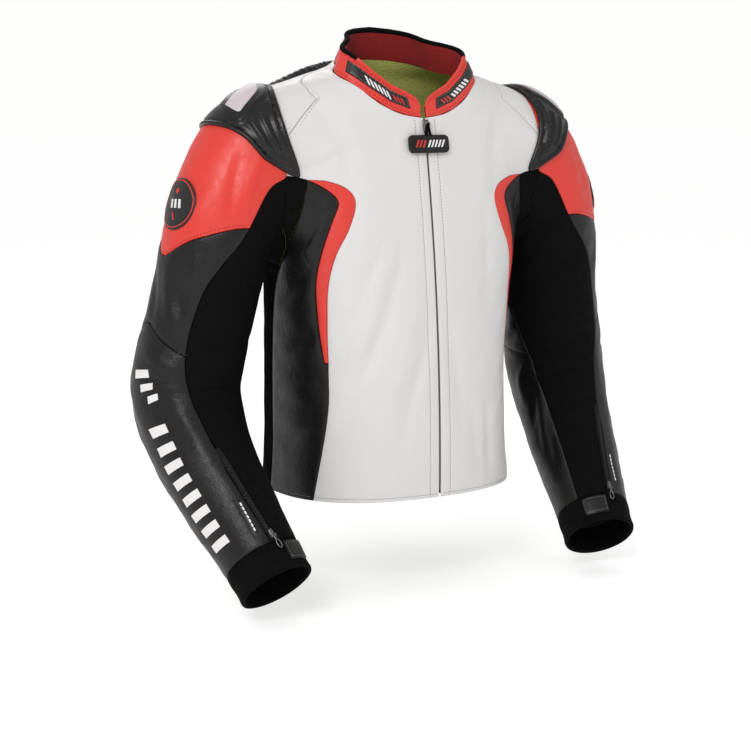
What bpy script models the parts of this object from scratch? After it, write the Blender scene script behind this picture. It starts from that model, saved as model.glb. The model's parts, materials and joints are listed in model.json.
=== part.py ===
"""Leather riding jacket, built as sewn panels, armour, zips and cuffs.

Frame: metres, +Z up, +X towards the wearer's left, -Y to the front.
The origin is the middle of the neck opening, level with the shoulder neck points.
Every panel is a patch of one outer skin, thickened inwards.
"""
import math

import bpy
import bmesh
import numpy as np
from mathutils.geometry import delaunay_2d_cdt

# ---------------------------------------------------------------- driving dimensions
LEATHER = 0.0024          # panel thickness
SEAM_GAP = 0.0004         # half of the clearance between neighbouring pieces
HEM_Z = -0.560            # height of the hem
COARSE = 0.036            # spacing of the points inside a panel
SLIVER = 6e-8             # triangles smaller than this lie outside a nearly straight seam
BORDER = 0.024            # spacing of the points along its seams, shared with its neighbours
ZIP_HALF_GAP = 0.0030     # half of the slit between the front edges
ARMHOLE_X = 0.1915        # plane of the armhole seam
ARMHOLE_GAP = 0.0006      # the torso panels stop this far before that plane
ELBOW_AT = 0.335          # distance down the sleeve of the elbow hinge
ELBOW_CLEAR = 0.050       # the sleeve shells stop this far from the elbow hinge
CUFF_TOP = 0.562          # distance down the sleeve where the cuff band starts
CUFF_END = 0.605
LINING_DEPTH = 0.0070     # from the outer skin to the lining's outer face

COLLAR_START = 2.6        # angle from the front where the collar's ends stand
COLLAR_LEAN = ((0, 0.20), (40, 0.40), (80, 0.50), (180, 0.40))    # inward lean by angle from the front
TUCK = 0.030              # under the arm this much of the sleeve is drawn in to the torso
TUCK_CLEAR = 0.0014       # and stops this far from it
ZIP_TOP = -0.0725
SLIDER_DROP = 0.001       # the slider's top lies this far below the zip's top
EAR_DROP = 0.0062         # the pull's hinge lies this far below the slider's top
EAR_PROUD = 0.0052        # and this far in front of the jacket
PULL_STEM = 0.0135        # from the hinge down to the grip
PULL_STEM_HALF = 0.0021
PULL_GRIP = (0.060, 0.023)
CUFF_SLIDER_ANGLE_LOW = 88.3
CUFF_SLIDER_ANGLE_HIGH = 79.6
TAB_TURN = 99.0           # the tab is sewn down at this angle and ends at the next
TAB_END = 142.0
TAB_D = (0.5660, 0.5930)
ZIP_SLOT = 5.0            # half of the cuff zip's slot, in degrees round the sleeve
CUFF_ZIP_TOP = 0.434      # distance down the sleeve where the cuff zip starts
ELBOW_BALL = 0.0620       # outer radius of the elbow's ball
ARMOUR_TURN = 250         # middle of the elbow armour, in degrees round the elbow's ball
CUP_ORIGIN = (0.222, 0.012, -0.062)
CUP_NORMAL = (0.62, -0.10, 0.78)
CUP_UP = (-0.78, 0.0, 0.62)
BADGE_CENTRE = (0.300, 0.008, -0.176)
BADGE_NORMAL = (0.97, -0.16, 0.20)
BADGE_RADIUS = 0.033

# outline of the moulded shoulder cup: inner top, front edge, front tip, outer edge, back
CUP_POINTS = (
    (0.1770, 0.045, -0.034), (0.1770, 0.012, -0.030), (0.1860, -0.020, -0.042), (0.1900, -0.045, -0.066),
    (0.1860, -0.056, -0.094), (0.1770, -0.060, -0.130), (0.1860, -0.060, -0.137), (0.2190, -0.057, -0.122),
    (0.2300, -0.054, -0.110), (0.2410, -0.045, -0.095), (0.2550, -0.027, -0.082), (0.2640, 0.000, -0.078),
    (0.2640, 0.026, -0.080), (0.2550, 0.050, -0.086), (0.2360, 0.072, -0.100), (0.2120, 0.082, -0.112),
    (0.1930, 0.080, -0.096), (0.1900, 0.068, -0.062),
)
INSERT_POINTS = ((0.240, 0.014, -0.055), (0.238, -0.016, -0.062), (0.231, -0.018, -0.058),
                 (0.199, 0.004, -0.036), (0.196, 0.020, -0.032), (0.206, 0.022, -0.034))

# the front edge is one arc, so that the zip slider can follow it
FRONT_ARC_Y = 2.3716
FRONT_ARC_Z = -0.4872
FRONT_ARC_R = 2.4785

# torso sections: height, half width, y of the widest place, back y, squareness
BODY_LEVELS = (
    (-0.600, 0.172, 0.036, 0.176, 2.4),
    (-0.480, 0.160, 0.044, 0.172, 2.5),
    (-0.410, 0.160, 0.044, 0.166, 2.5),
    (-0.300, 0.166, 0.030, 0.146, 2.6),
    (-0.240, 0.172, 0.022, 0.134, 2.8),
    (-0.150, 0.182, 0.018, 0.126, 2.6),
    (-0.090, 0.182, 0.015, 0.115, 2.3),
    (-0.050, 0.172, 0.015, 0.103, 2.2),
    (-0.030, 0.152, 0.015, 0.096, 2.1),
    (-0.015, 0.120, 0.022, 0.092, 2.1),
    (0.000, 0.074, 0.034, 0.086, 2.1),
    (0.030, 0.045, 0.042, 0.074, 2.1),
)
# inside of the left arm: x, y, z, radius
ARM_CHAIN = (
    (0.110, 0.015, -0.100, 0.058),
    (0.195, 0.012, -0.107, 0.068),
    (0.232, 0.013, -0.155, 0.070),
    (0.254, 0.017, -0.220, 0.069),
    (0.268, 0.032, -0.300, 0.068),
    (0.286, 0.045, -0.385, 0.070),
    (0.290, 0.042, -0.430, 0.070),
    (0.284, 0.010, -0.490, 0.064),
    (0.272, -0.035, -0.545, 0.058),
    (0.258, -0.085, -0.600, 0.051),
    (0.248, -0.122, -0.642, 0.047),
)
# rings of the left sleeve: distance down it, centre x, y, z, roll and pitch in degrees
SLEEVE_RINGS = (
    (0.000, ARMHOLE_X, 0.012, -0.135, 90, 0),
    (0.035, 0.215, 0.012, -0.150, 74, 0),
    (0.080, 0.240, 0.014, -0.188, 48, -4),
    (0.120, 0.254, 0.018, -0.225, 22, -9),
    (0.200, 0.268, 0.032, -0.300, 12, -9),
    (0.285, 0.286, 0.045, -0.385, 6, 0),
    (0.335, 0.290, 0.042, -0.430, 2, 18),
    (0.400, 0.284, 0.010, -0.490, -6, 33),
    (0.470, 0.272, -0.035, -0.545, -11, 40),
    (0.545, 0.258, -0.085, -0.600, -13, 42),
    (0.605, 0.248, -0.122, -0.642, -13, 42),
)

# seams on the torso as (angle from the front, height); the wearer's left side
NECKLINE = ((0, -0.071), (20, -0.066), (38, -0.052), (50, -0.034), (60, -0.021), (72, -0.009),
            (90, 0.001), (112, 0.007), (140, 0.010), (180, 0.011))
TRIM_TOP = (65.5, -0.147)          # white, red and both black panels meet here
TRIM_OUTER = (TRIM_TOP, (59, -0.149), (51, -0.160), (47.5, -0.178), (50, -0.210), (55, -0.243),
              (57.5, -0.285), (56.5, -0.335), (54.8, -0.380))
TRIM_INNER = (TRIM_TOP, (58.5, -0.162), (54.8, -0.176), (57, -0.200), (61, -0.240), (63.2, -0.280),
              (61, -0.330), (56.8, -0.380))
SIDE_FRONT_LOW = ((54.8, -0.380), (54.5, -0.430), (57, -0.480), (63.5, HEM_Z))
STRETCH_FRONT = (TRIM_TOP, (70, -0.200), (82, -0.245), (92, -0.300), (95, -0.400), (96, HEM_Z))
STRETCH_BACK = ((112, -0.245), (114, -0.300), (116, -0.400), (118, HEM_Z))
BACK_SEAM = ((126, -0.200), (136, -0.290), (140, -0.400), (138, HEM_Z))
# the leather and stretch seams along the sleeve as (distance down it, angle from its outer line)
SLEEVE_SEAM_BACK = ((0.0, 265), (0.050, 266), (0.089, 268), (0.140, 245), (0.190, 205), (0.243, 170),
                    (0.304, 154), (0.356, 148), (0.442, 147), (0.605, 149))
SLEEVE_SEAM = ((0.0, 95), (0.050, 95), (0.088, 92), (0.148, 71), (0.185, 60), (0.224, 57), (0.262, 60),
               (0.342, 71), (0.397, 75), (0.431, 79), (0.505, 84), (0.605, 91))
RED_EDGE = ((0, 0.153), (8, 0.152), (41, 0.123), (70, 0.103), (92, 0.089))

WHITE = (0.80, 0.78, 0.78)
RED = (0.78, 0.035, 0.025)
BLACK = (0.012, 0.012, 0.013)


# ---------------------------------------------------------------- small helpers
def clear_scene():
    for obj in list(bpy.data.objects):
        bpy.data.objects.remove(obj)


def material(name, colour, roughness, metallic=0.0):
    made = bpy.data.materials.get(name)
    if made:
        return made
    made = bpy.data.materials.new(name)
    made.use_nodes = True
    shader = made.node_tree.nodes["Principled BSDF"]
    shader.inputs["Base Color"].default_value = (*colour, 1.0)
    shader.inputs["Roughness"].default_value = roughness
    shader.inputs["Metallic"].default_value = metallic
    return made


def smooth_table(xs, ys, x):
    """Monotone cubic through (xs, ys); xs rise."""
    xs = np.asarray(xs, float)
    ys = np.asarray(ys, float)
    x = np.clip(x, xs[0], xs[-1])
    step = np.diff(xs)
    slope = np.diff(ys) / step
    tangent = np.concatenate([[slope[0]], np.zeros(len(slope) - 1), [slope[-1]]])
    for i in range(1, len(slope)):
        if slope[i - 1] * slope[i] > 0:
            tangent[i] = 2 * slope[i - 1] * slope[i] / (slope[i - 1] + slope[i])
    i = np.clip(np.searchsorted(xs, x) - 1, 0, len(step) - 1)
    t = (x - xs[i]) / step[i]
    return ((1 + 2 * t) * (1 - t) ** 2 * ys[i] + t * (1 - t) ** 2 * step[i] * tangent[i]
            + t * t * (3 - 2 * t) * ys[i + 1] + t * t * (t - 1) * step[i] * tangent[i + 1])


def curve_through(points, steps):
    """Catmull-Rom curve through the points."""
    p = np.array(points, float)
    p = np.vstack([2 * p[0] - p[1], p, 2 * p[-1] - p[-2]])
    out = []
    for i in range(1, len(p) - 2):
        for t in np.arange(steps) / steps:
            out.append(0.5 * (2 * p[i] + (p[i + 1] - p[i - 1]) * t
                              + (2 * p[i - 1] - 5 * p[i] + 4 * p[i + 1] - p[i + 2]) * t * t
                              + (3 * p[i] - p[i - 1] - 3 * p[i + 1] + p[i + 2]) * t ** 3))
    out.append(p[-2])
    return np.array(out)


# ---------------------------------------------------------------- the outer skin
LEVELS = np.array(BODY_LEVELS)
RINGS = np.array(SLEEVE_RINGS)
CHAIN = curve_through(ARM_CHAIN, 3)


def level(z, column):
    return smooth_table(LEVELS[:, 0], LEVELS[:, column], z)


def front_y(z):
    return FRONT_ARC_Y - np.sqrt(FRONT_ARC_R ** 2 - (z - FRONT_ARC_Z) ** 2)


def body_distance(p):
    x, y, z = p[..., 0], p[..., 1], p[..., 2]
    half = level(z, 1)
    middle = level(z, 2)
    power = level(z, 4)
    depth = np.where(y < middle, middle - front_y(z), level(z, 3) - middle)
    size = ((np.abs(x) / half) ** power + (np.abs(y - middle) / depth) ** power + 1e-12) ** (1 / power)
    return (size - 1) * np.sqrt(half * depth)


def arm_distance(p):
    q = p * np.array([1.0, 1.0, 1.0])
    q[..., 0] = np.abs(q[..., 0])
    best = np.full(q.shape[:-1], 9.0)
    for a, b in zip(CHAIN[:-1], CHAIN[1:]):
        along = b[:3] - a[:3]
        t = np.clip(((q - a[:3]) @ along) / (along @ along), 0, 1)
        away = np.linalg.norm(q - a[:3] - t[..., None] * along, axis=-1)
        best = np.minimum(best, away - (a[3] + t * (b[3] - a[3])))
    return best


def skin(p):
    """Distance, roughly, from the jacket's outer skin: torso and arms, blended at the shoulder."""
    body = body_distance(p)
    arm = arm_distance(p)
    blend = np.interp(p[..., 2], (-0.26, -0.20), (0.004, 0.050))
    share = np.clip(0.5 + 0.5 * (arm - body) / blend, 0, 1)
    return arm * (1 - share) + body * share - blend * share * (1 - share)


def skin_normal(p):
    e = 0.0008
    g = np.stack([skin(p + e * axis) - skin(p - e * axis) for axis in np.eye(3)], -1)
    return g / np.linalg.norm(g, axis=-1, keepdims=True)


def cast(start, direction, reach):
    """First point along each ray where it leaves the skin, no further than its reach."""
    r = np.linspace(0.08, 1.0, 40)[None, :] * np.broadcast_to(reach, len(start))[:, None]
    outside = skin(start[:, None, :] + direction[:, None, :] * r[..., None]) > 0
    first = np.where(outside.any(1), np.maximum(outside.argmax(1), 1), r.shape[1] - 1)
    rows = np.arange(len(start))
    low, high = r[rows, first - 1], r[rows, first]
    for _ in range(18):
        mid = (low + high) / 2
        out = skin(start + direction * mid[:, None]) > 0
        high = np.where(out, mid, high)
        low = np.where(out, low, mid)
    return start + direction * ((low + high) / 2)[:, None]


def torso_point(uv):
    """Chart of the torso: (angle from the front in degrees, height) to a skin point."""
    turn = np.radians(uv[:, 0])
    z = uv[:, 1]
    start = np.stack([0 * z, level(z, 2), z], -1)
    to_armhole = (ARMHOLE_X - ARMHOLE_GAP) / np.maximum(np.abs(np.sin(turn)), 0.3)
    return cast(start, np.stack([np.sin(turn), -np.cos(turn), 0 * z], -1), np.minimum(0.30, to_armhole))


def torso_chart(p):
    turn = np.degrees(np.arctan2(p[:, 0], level(p[:, 2], 2) - p[:, 1]))
    return np.stack([np.where(turn < -1, turn + 360, turn), p[:, 2]], -1)


PROFILE = np.concatenate([[0], np.cumsum(np.hypot(np.diff(LEVELS[:, 0]), np.diff(LEVELS[:, 1])))])


def torso_flat(uv):
    """Nearly true lengths for laying out the points of a torso panel."""
    return np.stack([np.radians(uv[:, 0]) * 0.16, np.interp(uv[:, 1], LEVELS[:, 0], PROFILE)], -1)


def torso_unflat(xy):
    return np.stack([np.degrees(xy[:, 0] / 0.16), np.interp(xy[:, 1], PROFILE, LEVELS[:, 0])], -1)


def sleeve_frame(d):
    centre = np.stack([smooth_table(RINGS[:, 0], RINGS[:, k], d) for k in (1, 2, 3)], -1)
    roll = np.radians(smooth_table(RINGS[:, 0], RINGS[:, 4], d))
    pitch = np.radians(smooth_table(RINGS[:, 0], RINGS[:, 5], d))
    outward = np.stack([np.cos(roll), 0 * roll, np.sin(roll)], -1)
    forward = np.stack([0 * pitch, -np.cos(pitch), np.sin(pitch)], -1)
    return centre, outward, forward


def sleeve_point(uv):
    """Chart of the left sleeve: (angle from its outer line in degrees, distance down it)."""
    turn = np.radians(uv[:, 0])[:, None]
    centre, outward, forward = sleeve_frame(uv[:, 1])
    points = cast(centre, np.cos(turn) * outward + np.sin(turn) * forward, 0.16)
    near = uv[:, 1] < TUCK
    if near.any():
        points[near] = tucked(points[near], uv[near, 1])
    return points


def tucked(points, d):
    """The sleeve's first rows, drawn in under the arm until they meet the torso."""
    wall = torso_point(torso_chart(np.minimum(points, [ARMHOLE_X - ARMHOLE_GAP, 9.0, 9.0])))
    away = wall - points
    length = np.linalg.norm(away, axis=1)
    share = (1 - d / TUCK) ** 2 * np.maximum(length - TUCK_CLEAR, 0) / np.maximum(length, 1e-9)
    return points + away * share[:, None]


def sleeve_normal(uv, points):
    """The skin's normal, but the surface's own where it is drawn in under the arm."""
    normal = skin_normal(points)
    near = (uv[:, 1] < TUCK) & (np.abs(skin(points)) > TUCK_CLEAR)
    if near.any():
        at = uv[near]
        across = sleeve_point(at + [1.0, 0.0]) - sleeve_point(at - [1.0, 0.0])
        along = sleeve_point(at + [0.0, 0.002]) - sleeve_point(at)
        own = np.cross(across, along)
        normal[near] = own / np.maximum(np.linalg.norm(own, axis=1, keepdims=True), 1e-12)
    return normal


def sleeve_flat(uv):
    return np.stack([np.radians(uv[:, 0]) * 0.066, uv[:, 1]], -1)


def sleeve_unflat(xy):
    return np.stack([np.degrees(xy[:, 0] / 0.066), xy[:, 1]], -1)


# ---------------------------------------------------------------- panels
def resample(line, spacing):
    """Evenly spaced points along an open line, its ends kept."""
    length = np.concatenate([[0], np.cumsum(np.linalg.norm(np.diff(line, axis=0), axis=1))])
    count = max(1, round(length[-1] / spacing))
    at = np.linspace(0, length[-1], count + 1)
    return np.stack([np.interp(at, length, line[:, k]) for k in range(line.shape[1])], -1)


def inside_loops(points, loops):
    """Even-odd test, so a loop inside another is a hole."""
    x, y = points[:, 0], points[:, 1]
    result = np.zeros(len(points), bool)
    for loop in loops:
        for (x0, y0), (x1, y1) in zip(loop, np.roll(loop, -1, axis=0)):
            if y1 != y0:
                result ^= ((y0 > y) != (y1 > y)) & (x < (x1 - x0) * (y - y0) / (y1 - y0) + x0)
    return result


def far_from_loops(points, loops, distance):
    best = np.full(len(points), 9.0)
    for loop in loops:
        for a, b in zip(loop, np.roll(loop, -1, axis=0)):
            along = b - a
            t = np.clip(((points - a) @ along) / max(along @ along, 1e-12), 0, 1)
            best = np.minimum(best, np.linalg.norm(points - a - t[:, None] * along, axis=1))
    return best > distance


def fill(loops, spacing):
    """Triangles between flat loops, with a staggered grid of points inside."""
    corners = np.vstack(loops)
    low, high = corners.min(0), corners.max(0)
    rows = np.arange(low[1] + spacing / 2, high[1], spacing * 0.87)
    grid = [(x, y) for k, y in enumerate(rows)
            for x in np.arange(low[0] + spacing * (0.3 + 0.5 * (k % 2)), high[0], spacing)]
    grid = np.array(grid).reshape(-1, 2)
    if len(grid):
        grid = grid[inside_loops(grid, loops)]
        grid = grid[far_from_loops(grid, loops, spacing * 0.5)]
    edges = []
    for loop in loops:
        first = len(edges)
        edges += [(first + i, first + (i + 1) % len(loop)) for i in range(len(loop))]
    made = delaunay_2d_cdt([tuple(p) for p in np.vstack([corners, grid])], edges, [], 0, 1e-9)
    flat = np.array([tuple(v) for v in made[0]])
    faces = np.array([f for f in made[2]])
    a, b, c = (flat[faces[:, k]] for k in range(3))
    size = ((b[:, 0] - a[:, 0]) * (c[:, 1] - a[:, 1]) - (b[:, 1] - a[:, 1]) * (c[:, 0] - a[:, 0])) / 2
    faces[size < 0] = faces[size < 0][:, ::-1]
    return flat, faces[inside_loops((a + b + c) / 3, loops) & (np.abs(size) > SLIVER)]


def inset(loop, gap):
    """Move a counter-clockwise loop inwards by the gap, and a clockwise one outwards."""
    before = loop - np.roll(loop, 1, axis=0)
    after = np.roll(loop, -1, axis=0) - loop
    before /= np.linalg.norm(before, axis=1, keepdims=True)
    after /= np.linalg.norm(after, axis=1, keepdims=True)
    side_a = np.stack([-before[:, 1], before[:, 0]], -1)
    side_b = np.stack([-after[:, 1], after[:, 0]], -1)
    bisector = side_a + side_b
    bisector /= np.maximum(np.linalg.norm(bisector, axis=1, keepdims=True), 0.3)
    return loop + bisector * gap / np.maximum((bisector * side_a).sum(1, keepdims=True), 0.4)


def facing_out(points, normals, faces):
    """The faces, all turned over if most of them look inwards."""
    corners = points[faces]
    across = np.cross(corners[:, 1] - corners[:, 0], corners[:, 2] - corners[:, 0])
    outwards = (across * normals[faces].mean(1)).sum(1) > 0
    return faces if outwards.mean() > 0.5 else faces[:, ::-1]


def place(name, mesh, look):
    mesh.materials.append(look)
    obj = bpy.data.objects.new(name, mesh)
    bpy.context.scene.collection.objects.link(obj)
    return obj


def shell(name, outer, inner, faces, look):
    """Closed body from two layers of points; the faces are those of the outer layer."""
    count = len(outer)
    sides = {(int(t[k]), int(t[(k + 1) % 3])) for t in faces for k in range(3)}
    tris = [tuple(int(i) for i in t) for t in faces]
    tris += [(c + count, b + count, a + count) for a, b, c in tris]
    for a, b in sides:
        if (b, a) not in sides:
            tris += [(b, a, a + count), (b, a + count, b + count)]
    mesh = bpy.data.meshes.new(name)
    mesh.from_pydata([tuple(p) for p in np.vstack([outer, inner])], [], tris)
    return place(name, mesh, look)


class Chart:
    """A surface laid out flat: chart pairs to points, and to nearly true lengths and back."""

    def __init__(self, point, flatten, unflatten, normal=None):
        self.point = point
        self.flatten = flatten
        self.unflatten = unflatten
        self.normal = normal or (lambda uv, p: skin_normal(p))


def area_of(loop):
    return np.sum(loop[:, 0] * np.roll(loop[:, 1], -1) - loop[:, 1] * np.roll(loop[:, 0], -1)) / 2


def flat_loop(lines, chart, gap, border, hole=False):
    """One closed loop from chart lines that each start where the last one ends."""
    loop = np.vstack([resample(chart.flatten(np.array(line, float)), border)[:-1] for line in lines])
    if (area_of(loop) < 0) != hole:
        loop = loop[::-1]
    return inset(loop, gap)


def panel(name, lines, chart, look, spacing=COARSE, thickness=LEATHER, depth=0.0, gap=SEAM_GAP,
          mirror=False, holes=(), hole_gap=SEAM_GAP, border=BORDER):
    """Panel inside closed chart lines, thickened inwards from the given depth."""
    loops = [flat_loop(lines, chart, gap, border)]
    loops += [flat_loop([hole], chart, hole_gap, border, hole=True) for hole in holes]
    flat, faces = fill(loops, spacing)
    uv = chart.unflatten(flat)
    surface = chart.point(uv)
    normal = chart.normal(uv, surface)
    faces = facing_out(surface, normal, faces)
    outer = surface - depth * normal
    inner = surface - (depth + thickness) * normal
    if mirror:
        outer = outer * [-1, 1, 1]
        inner = inner * [-1, 1, 1]
        faces = faces[:, ::-1]
    return shell(name, outer, inner, faces, look)


def tube(name, outer_rows, inner_rows, look):
    """Closed ring wall from matching rows of points, each row one turn."""
    outer_rows = np.array(outer_rows)
    inner_rows = np.array(inner_rows)
    rows, turn = outer_rows.shape[:2]
    faces = []
    for i in range(rows - 1):
        for j in range(turn):
            a, b = i * turn + j, i * turn + (j + 1) % turn
            faces += [(a, b, b + turn), (a, b + turn, a + turn)]
    outer = outer_rows.reshape(-1, 3)
    normal = outer - inner_rows.reshape(-1, 3)
    return shell(name, outer, outer - normal, facing_out(outer, normal, np.array(faces)), look)


def prism(name, outline, place_point, near, far, look, mirror=False):
    """Flat outline (a, b) carried to points by place_point(a, b, depth), between two depths."""
    outline = np.array(outline, float)
    if area_of(outline) < 0:
        outline = outline[::-1]
    flat, faces = fill([outline], 9.0)
    front = np.array([place_point(a, b, near) for a, b in flat])
    back = np.array([place_point(a, b, far) for a, b in flat])
    faces = facing_out(front, front - back, faces)
    if mirror:
        front = front * [-1, 1, 1]
        back = back * [-1, 1, 1]
        faces = faces[:, ::-1]
    return shell(name, front, back, faces, look)


def rounded_box(width, height, radius, steps=3):
    """Outline of a rectangle with round corners, centred on zero."""
    points = []
    for k, (sx, sy) in enumerate(((1, 1), (-1, 1), (-1, -1), (1, -1))):
        for i in range(steps + 1):
            angle = math.radians(90 * k + 90 * i / steps)
            points.append((sx * (width / 2 - radius) + radius * math.cos(angle),
                           sy * (height / 2 - radius) + radius * math.sin(angle)))
    return points


def local_chart(origin, normal, up):
    """Flat chart on a plane at the origin, carried along its normal to the skin."""
    origin = np.array(origin, float)
    normal = np.array(normal, float) / np.linalg.norm(normal)
    across = np.cross(up, normal)
    across /= np.linalg.norm(across)
    upward = np.cross(normal, across)

    def point(uv):
        start = origin + uv[:, :1] * across + uv[:, 1:] * upward - 0.05 * normal
        return cast(start, np.broadcast_to(normal, start.shape), 0.12)

    def chart_of(points):
        away = np.array(points, float) - origin
        return np.stack([away @ across, away @ upward], -1)

    chart = Chart(point, lambda uv: uv, lambda xy: xy)
    chart.of = chart_of
    return chart


TORSO = Chart(torso_point, torso_flat, torso_unflat)
SLEEVE = Chart(sleeve_point, sleeve_flat, sleeve_unflat, sleeve_normal)


# ---------------------------------------------------------------- seams
def smooth(points):
    return curve_through(points, 4)


def neck(start, stop):
    """Neckline between two angles, the same on both sides."""
    turn = np.linspace(start, stop, 25)
    table = np.array(NECKLINE, float)
    return np.stack([turn, smooth_table(table[:, 0], table[:, 1], np.minimum(turn, 360 - turn))], -1)


def armhole(start, stop):
    """Armhole in the torso's chart, between two angles about the sleeve."""
    turn = np.linspace(start, stop, 25)
    ring = sleeve_point(np.stack([turn % 360, 0 * turn], -1))
    ring[:, 0] = np.minimum(ring[:, 0], ARMHOLE_X - ARMHOLE_GAP)
    return torso_chart(ring)


def opposite(line):
    """The same line on the wearer's right side."""
    return np.array(line) * [-1, 1] + [360, 0]


def front_edge(half_gap, top, bottom):
    """Line beside the zip at a constant distance from the middle plane."""
    z = np.linspace(top, bottom, 15)
    return np.stack([np.degrees(np.arctan2(half_gap, level(z, 2) - front_y(z))), z], -1)


def hem(start, stop):
    return [(start, HEM_Z), (stop, HEM_Z)]


def sleeve_seam(start, stop, side):
    """Seam between outer leather and inner fabric; side is 1 in front and -1 behind."""
    d = np.linspace(start, stop, 12)
    table = np.array(SLEEVE_SEAM if side > 0 else SLEEVE_SEAM_BACK)
    return np.stack([smooth_table(table[:, 0], table[:, 1], d), d], -1)


def ring(start, stop, d):
    return [(turn, d) for turn in np.linspace(start, stop, 12)]


SHOULDER_FRONT = (67.4, -0.045)    # corners of the shoulder panel
SHOULDER_TOP = (95.5, -0.007)      
SHOULDER_BACK = (98.0, -0.024)
ARM_FRONT_TOP = 60                 # angles at the armhole where seams end
ARM_FRONT_LOW = 95
ARM_SIDE_BACK = 235
ARM_BACK_LOW = 262
ARM_BACK_MID = 278
ARM_BACK_TOP = 345
YOKE_INNER = ((132, 0.0093), (130, -0.030), (122, -0.080), (114, -0.125))


def armhole_at(turn):
    return tuple(armhole(turn, turn)[0])


def front_panels(look):
    lines = [
        front_edge(ZIP_HALF_GAP, neck(1.5, 1.5)[0][1], HEM_Z),
        hem(front_edge(ZIP_HALF_GAP, HEM_Z, HEM_Z)[0][0], SIDE_FRONT_LOW[-1][0]),
        smooth(SIDE_FRONT_LOW)[::-1],
        smooth(TRIM_OUTER)[::-1],
        [TRIM_TOP, armhole_at(ARM_FRONT_LOW)],
        armhole(ARM_FRONT_LOW, ARM_FRONT_TOP),
        [armhole_at(ARM_FRONT_TOP), SHOULDER_FRONT],
        [SHOULDER_FRONT, SHOULDER_TOP],
        [SHOULDER_TOP, tuple(neck(114, 108)[0])],
        neck(114, 1.5),
    ]
    pair("front_panel", lines, look)


def pair(name, lines, look, **options):
    """The same torso panel on the left and, mirrored, on the right."""
    panel(name + "_left", lines, TORSO, look, **options)
    panel(name + "_right", lines, TORSO, look, mirror=True, **options)


def side_trims(look):
    pair("side_trim", [smooth(TRIM_OUTER), [TRIM_OUTER[-1], TRIM_INNER[-1]], smooth(TRIM_INNER)[::-1]],
         look, spacing=0.018)


def side_panels(look):
    pair("side_panel", [
        smooth(TRIM_INNER),
        [TRIM_INNER[-1], TRIM_OUTER[-1]],
        smooth(SIDE_FRONT_LOW),
        hem(SIDE_FRONT_LOW[-1][0], STRETCH_FRONT[-1][0]),
        smooth(STRETCH_FRONT)[::-1],
    ], look)


def side_stretches(look):
    pair("side_stretch", [
        [armhole_at(ARM_FRONT_LOW), TRIM_TOP],
        smooth(STRETCH_FRONT),
        hem(STRETCH_FRONT[-1][0], STRETCH_BACK[-1][0]),
        smooth((armhole_at(ARM_SIDE_BACK),) + STRETCH_BACK)[::-1],
        armhole(ARM_SIDE_BACK, ARM_FRONT_LOW),
    ], look)


def back_sides(look):
    pair("back_side", [
        smooth((armhole_at(ARM_SIDE_BACK),) + STRETCH_BACK),
        hem(STRETCH_BACK[-1][0], BACK_SEAM[-1][0]),
        smooth((armhole_at(ARM_BACK_LOW),) + BACK_SEAM)[::-1],
        armhole(ARM_BACK_LOW, ARM_SIDE_BACK),
    ], look)


def back_panel(look):
    seam = smooth((armhole_at(ARM_BACK_LOW),) + BACK_SEAM)
    yoke = smooth(YOKE_INNER + (armhole_at(ARM_BACK_MID),))
    lines = [
        yoke,
        armhole(ARM_BACK_MID, ARM_BACK_LOW),
        seam,
        hem(BACK_SEAM[-1][0], 360 - BACK_SEAM[-1][0]),
        opposite(seam)[::-1],
        opposite(armhole(ARM_BACK_LOW, ARM_BACK_MID)),
        opposite(yoke)[::-1],
        neck(360 - YOKE_INNER[0][0], YOKE_INNER[0][0]),
    ]
    panel("back_panel", lines, TORSO, look)


def shoulder_panels(look):
    pair("shoulder_panel", [
        [armhole_at(ARM_FRONT_TOP), SHOULDER_FRONT],
        [SHOULDER_FRONT, SHOULDER_TOP],
        [SHOULDER_TOP, SHOULDER_BACK],
        [SHOULDER_BACK, armhole_at(ARM_BACK_TOP)],
        armhole(ARM_BACK_TOP, 360 + ARM_FRONT_TOP),
    ], look, spacing=0.024)


def shoulder_stretches(look):
    pair("shoulder_stretch", [
        neck(114, YOKE_INNER[0][0]),
        smooth(YOKE_INNER + (armhole_at(ARM_BACK_MID),)),
        armhole(ARM_BACK_MID, ARM_BACK_TOP),
        [armhole_at(ARM_BACK_TOP), SHOULDER_BACK],
        [SHOULDER_BACK, SHOULDER_TOP],
        [SHOULDER_TOP, tuple(neck(114, 108)[0])],
    ], look, spacing=0.024)


def collar_ring(turn):
    """Base of the collar at an angle from the front, a little above the panels' edge."""
    uv = neck(0, 360)
    z = np.interp(turn, uv[:, 0], uv[:, 1])
    return torso_point(np.stack([turn, z + 0.0012], -1))


def collar_height(turn):
    """The stand-up collar is lower and rounded off at its two front ends."""
    from_front = np.minimum(turn, 360 - turn)
    return np.interp(from_front, (2.5, 4, 8, 16, 30, 90, 180), (0.011, 0.016, 0.022, 0.026, 0.028, 0.031, 0.033))


def collar_point(uv):
    """Chart of the collar: (angle from the front, share of its height)."""
    turn = uv[:, 0]
    base = collar_ring(turn)
    middle = np.array([0.0, 0.022, 0.0])
    inward = middle - base
    inward[:, 2] = 0
    inward /= np.linalg.norm(inward, axis=1, keepdims=True)
    rise = (collar_height(turn) * uv[:, 1])[:, None]
    lean = np.interp(np.minimum(turn, 360 - turn), *np.transpose(COLLAR_LEAN))[:, None]
    return base + rise * (np.array([0, 0, 1.0]) + lean * inward)


def collar_normal(uv, points):
    step = 0.5
    across = collar_point(uv + [step, 0]) - collar_point(uv - [step, 0])
    base = uv * [1, 0]
    upward = collar_point(base + [0, 1]) - collar_point(base)
    normal = np.cross(across, upward)
    return normal / np.linalg.norm(normal, axis=1, keepdims=True)


COLLAR = Chart(collar_point,
               lambda uv: uv * [math.radians(1) * 0.078, 0.038],
               lambda xy: xy / [math.radians(1) * 0.078, 0.038],
               collar_normal)


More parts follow.
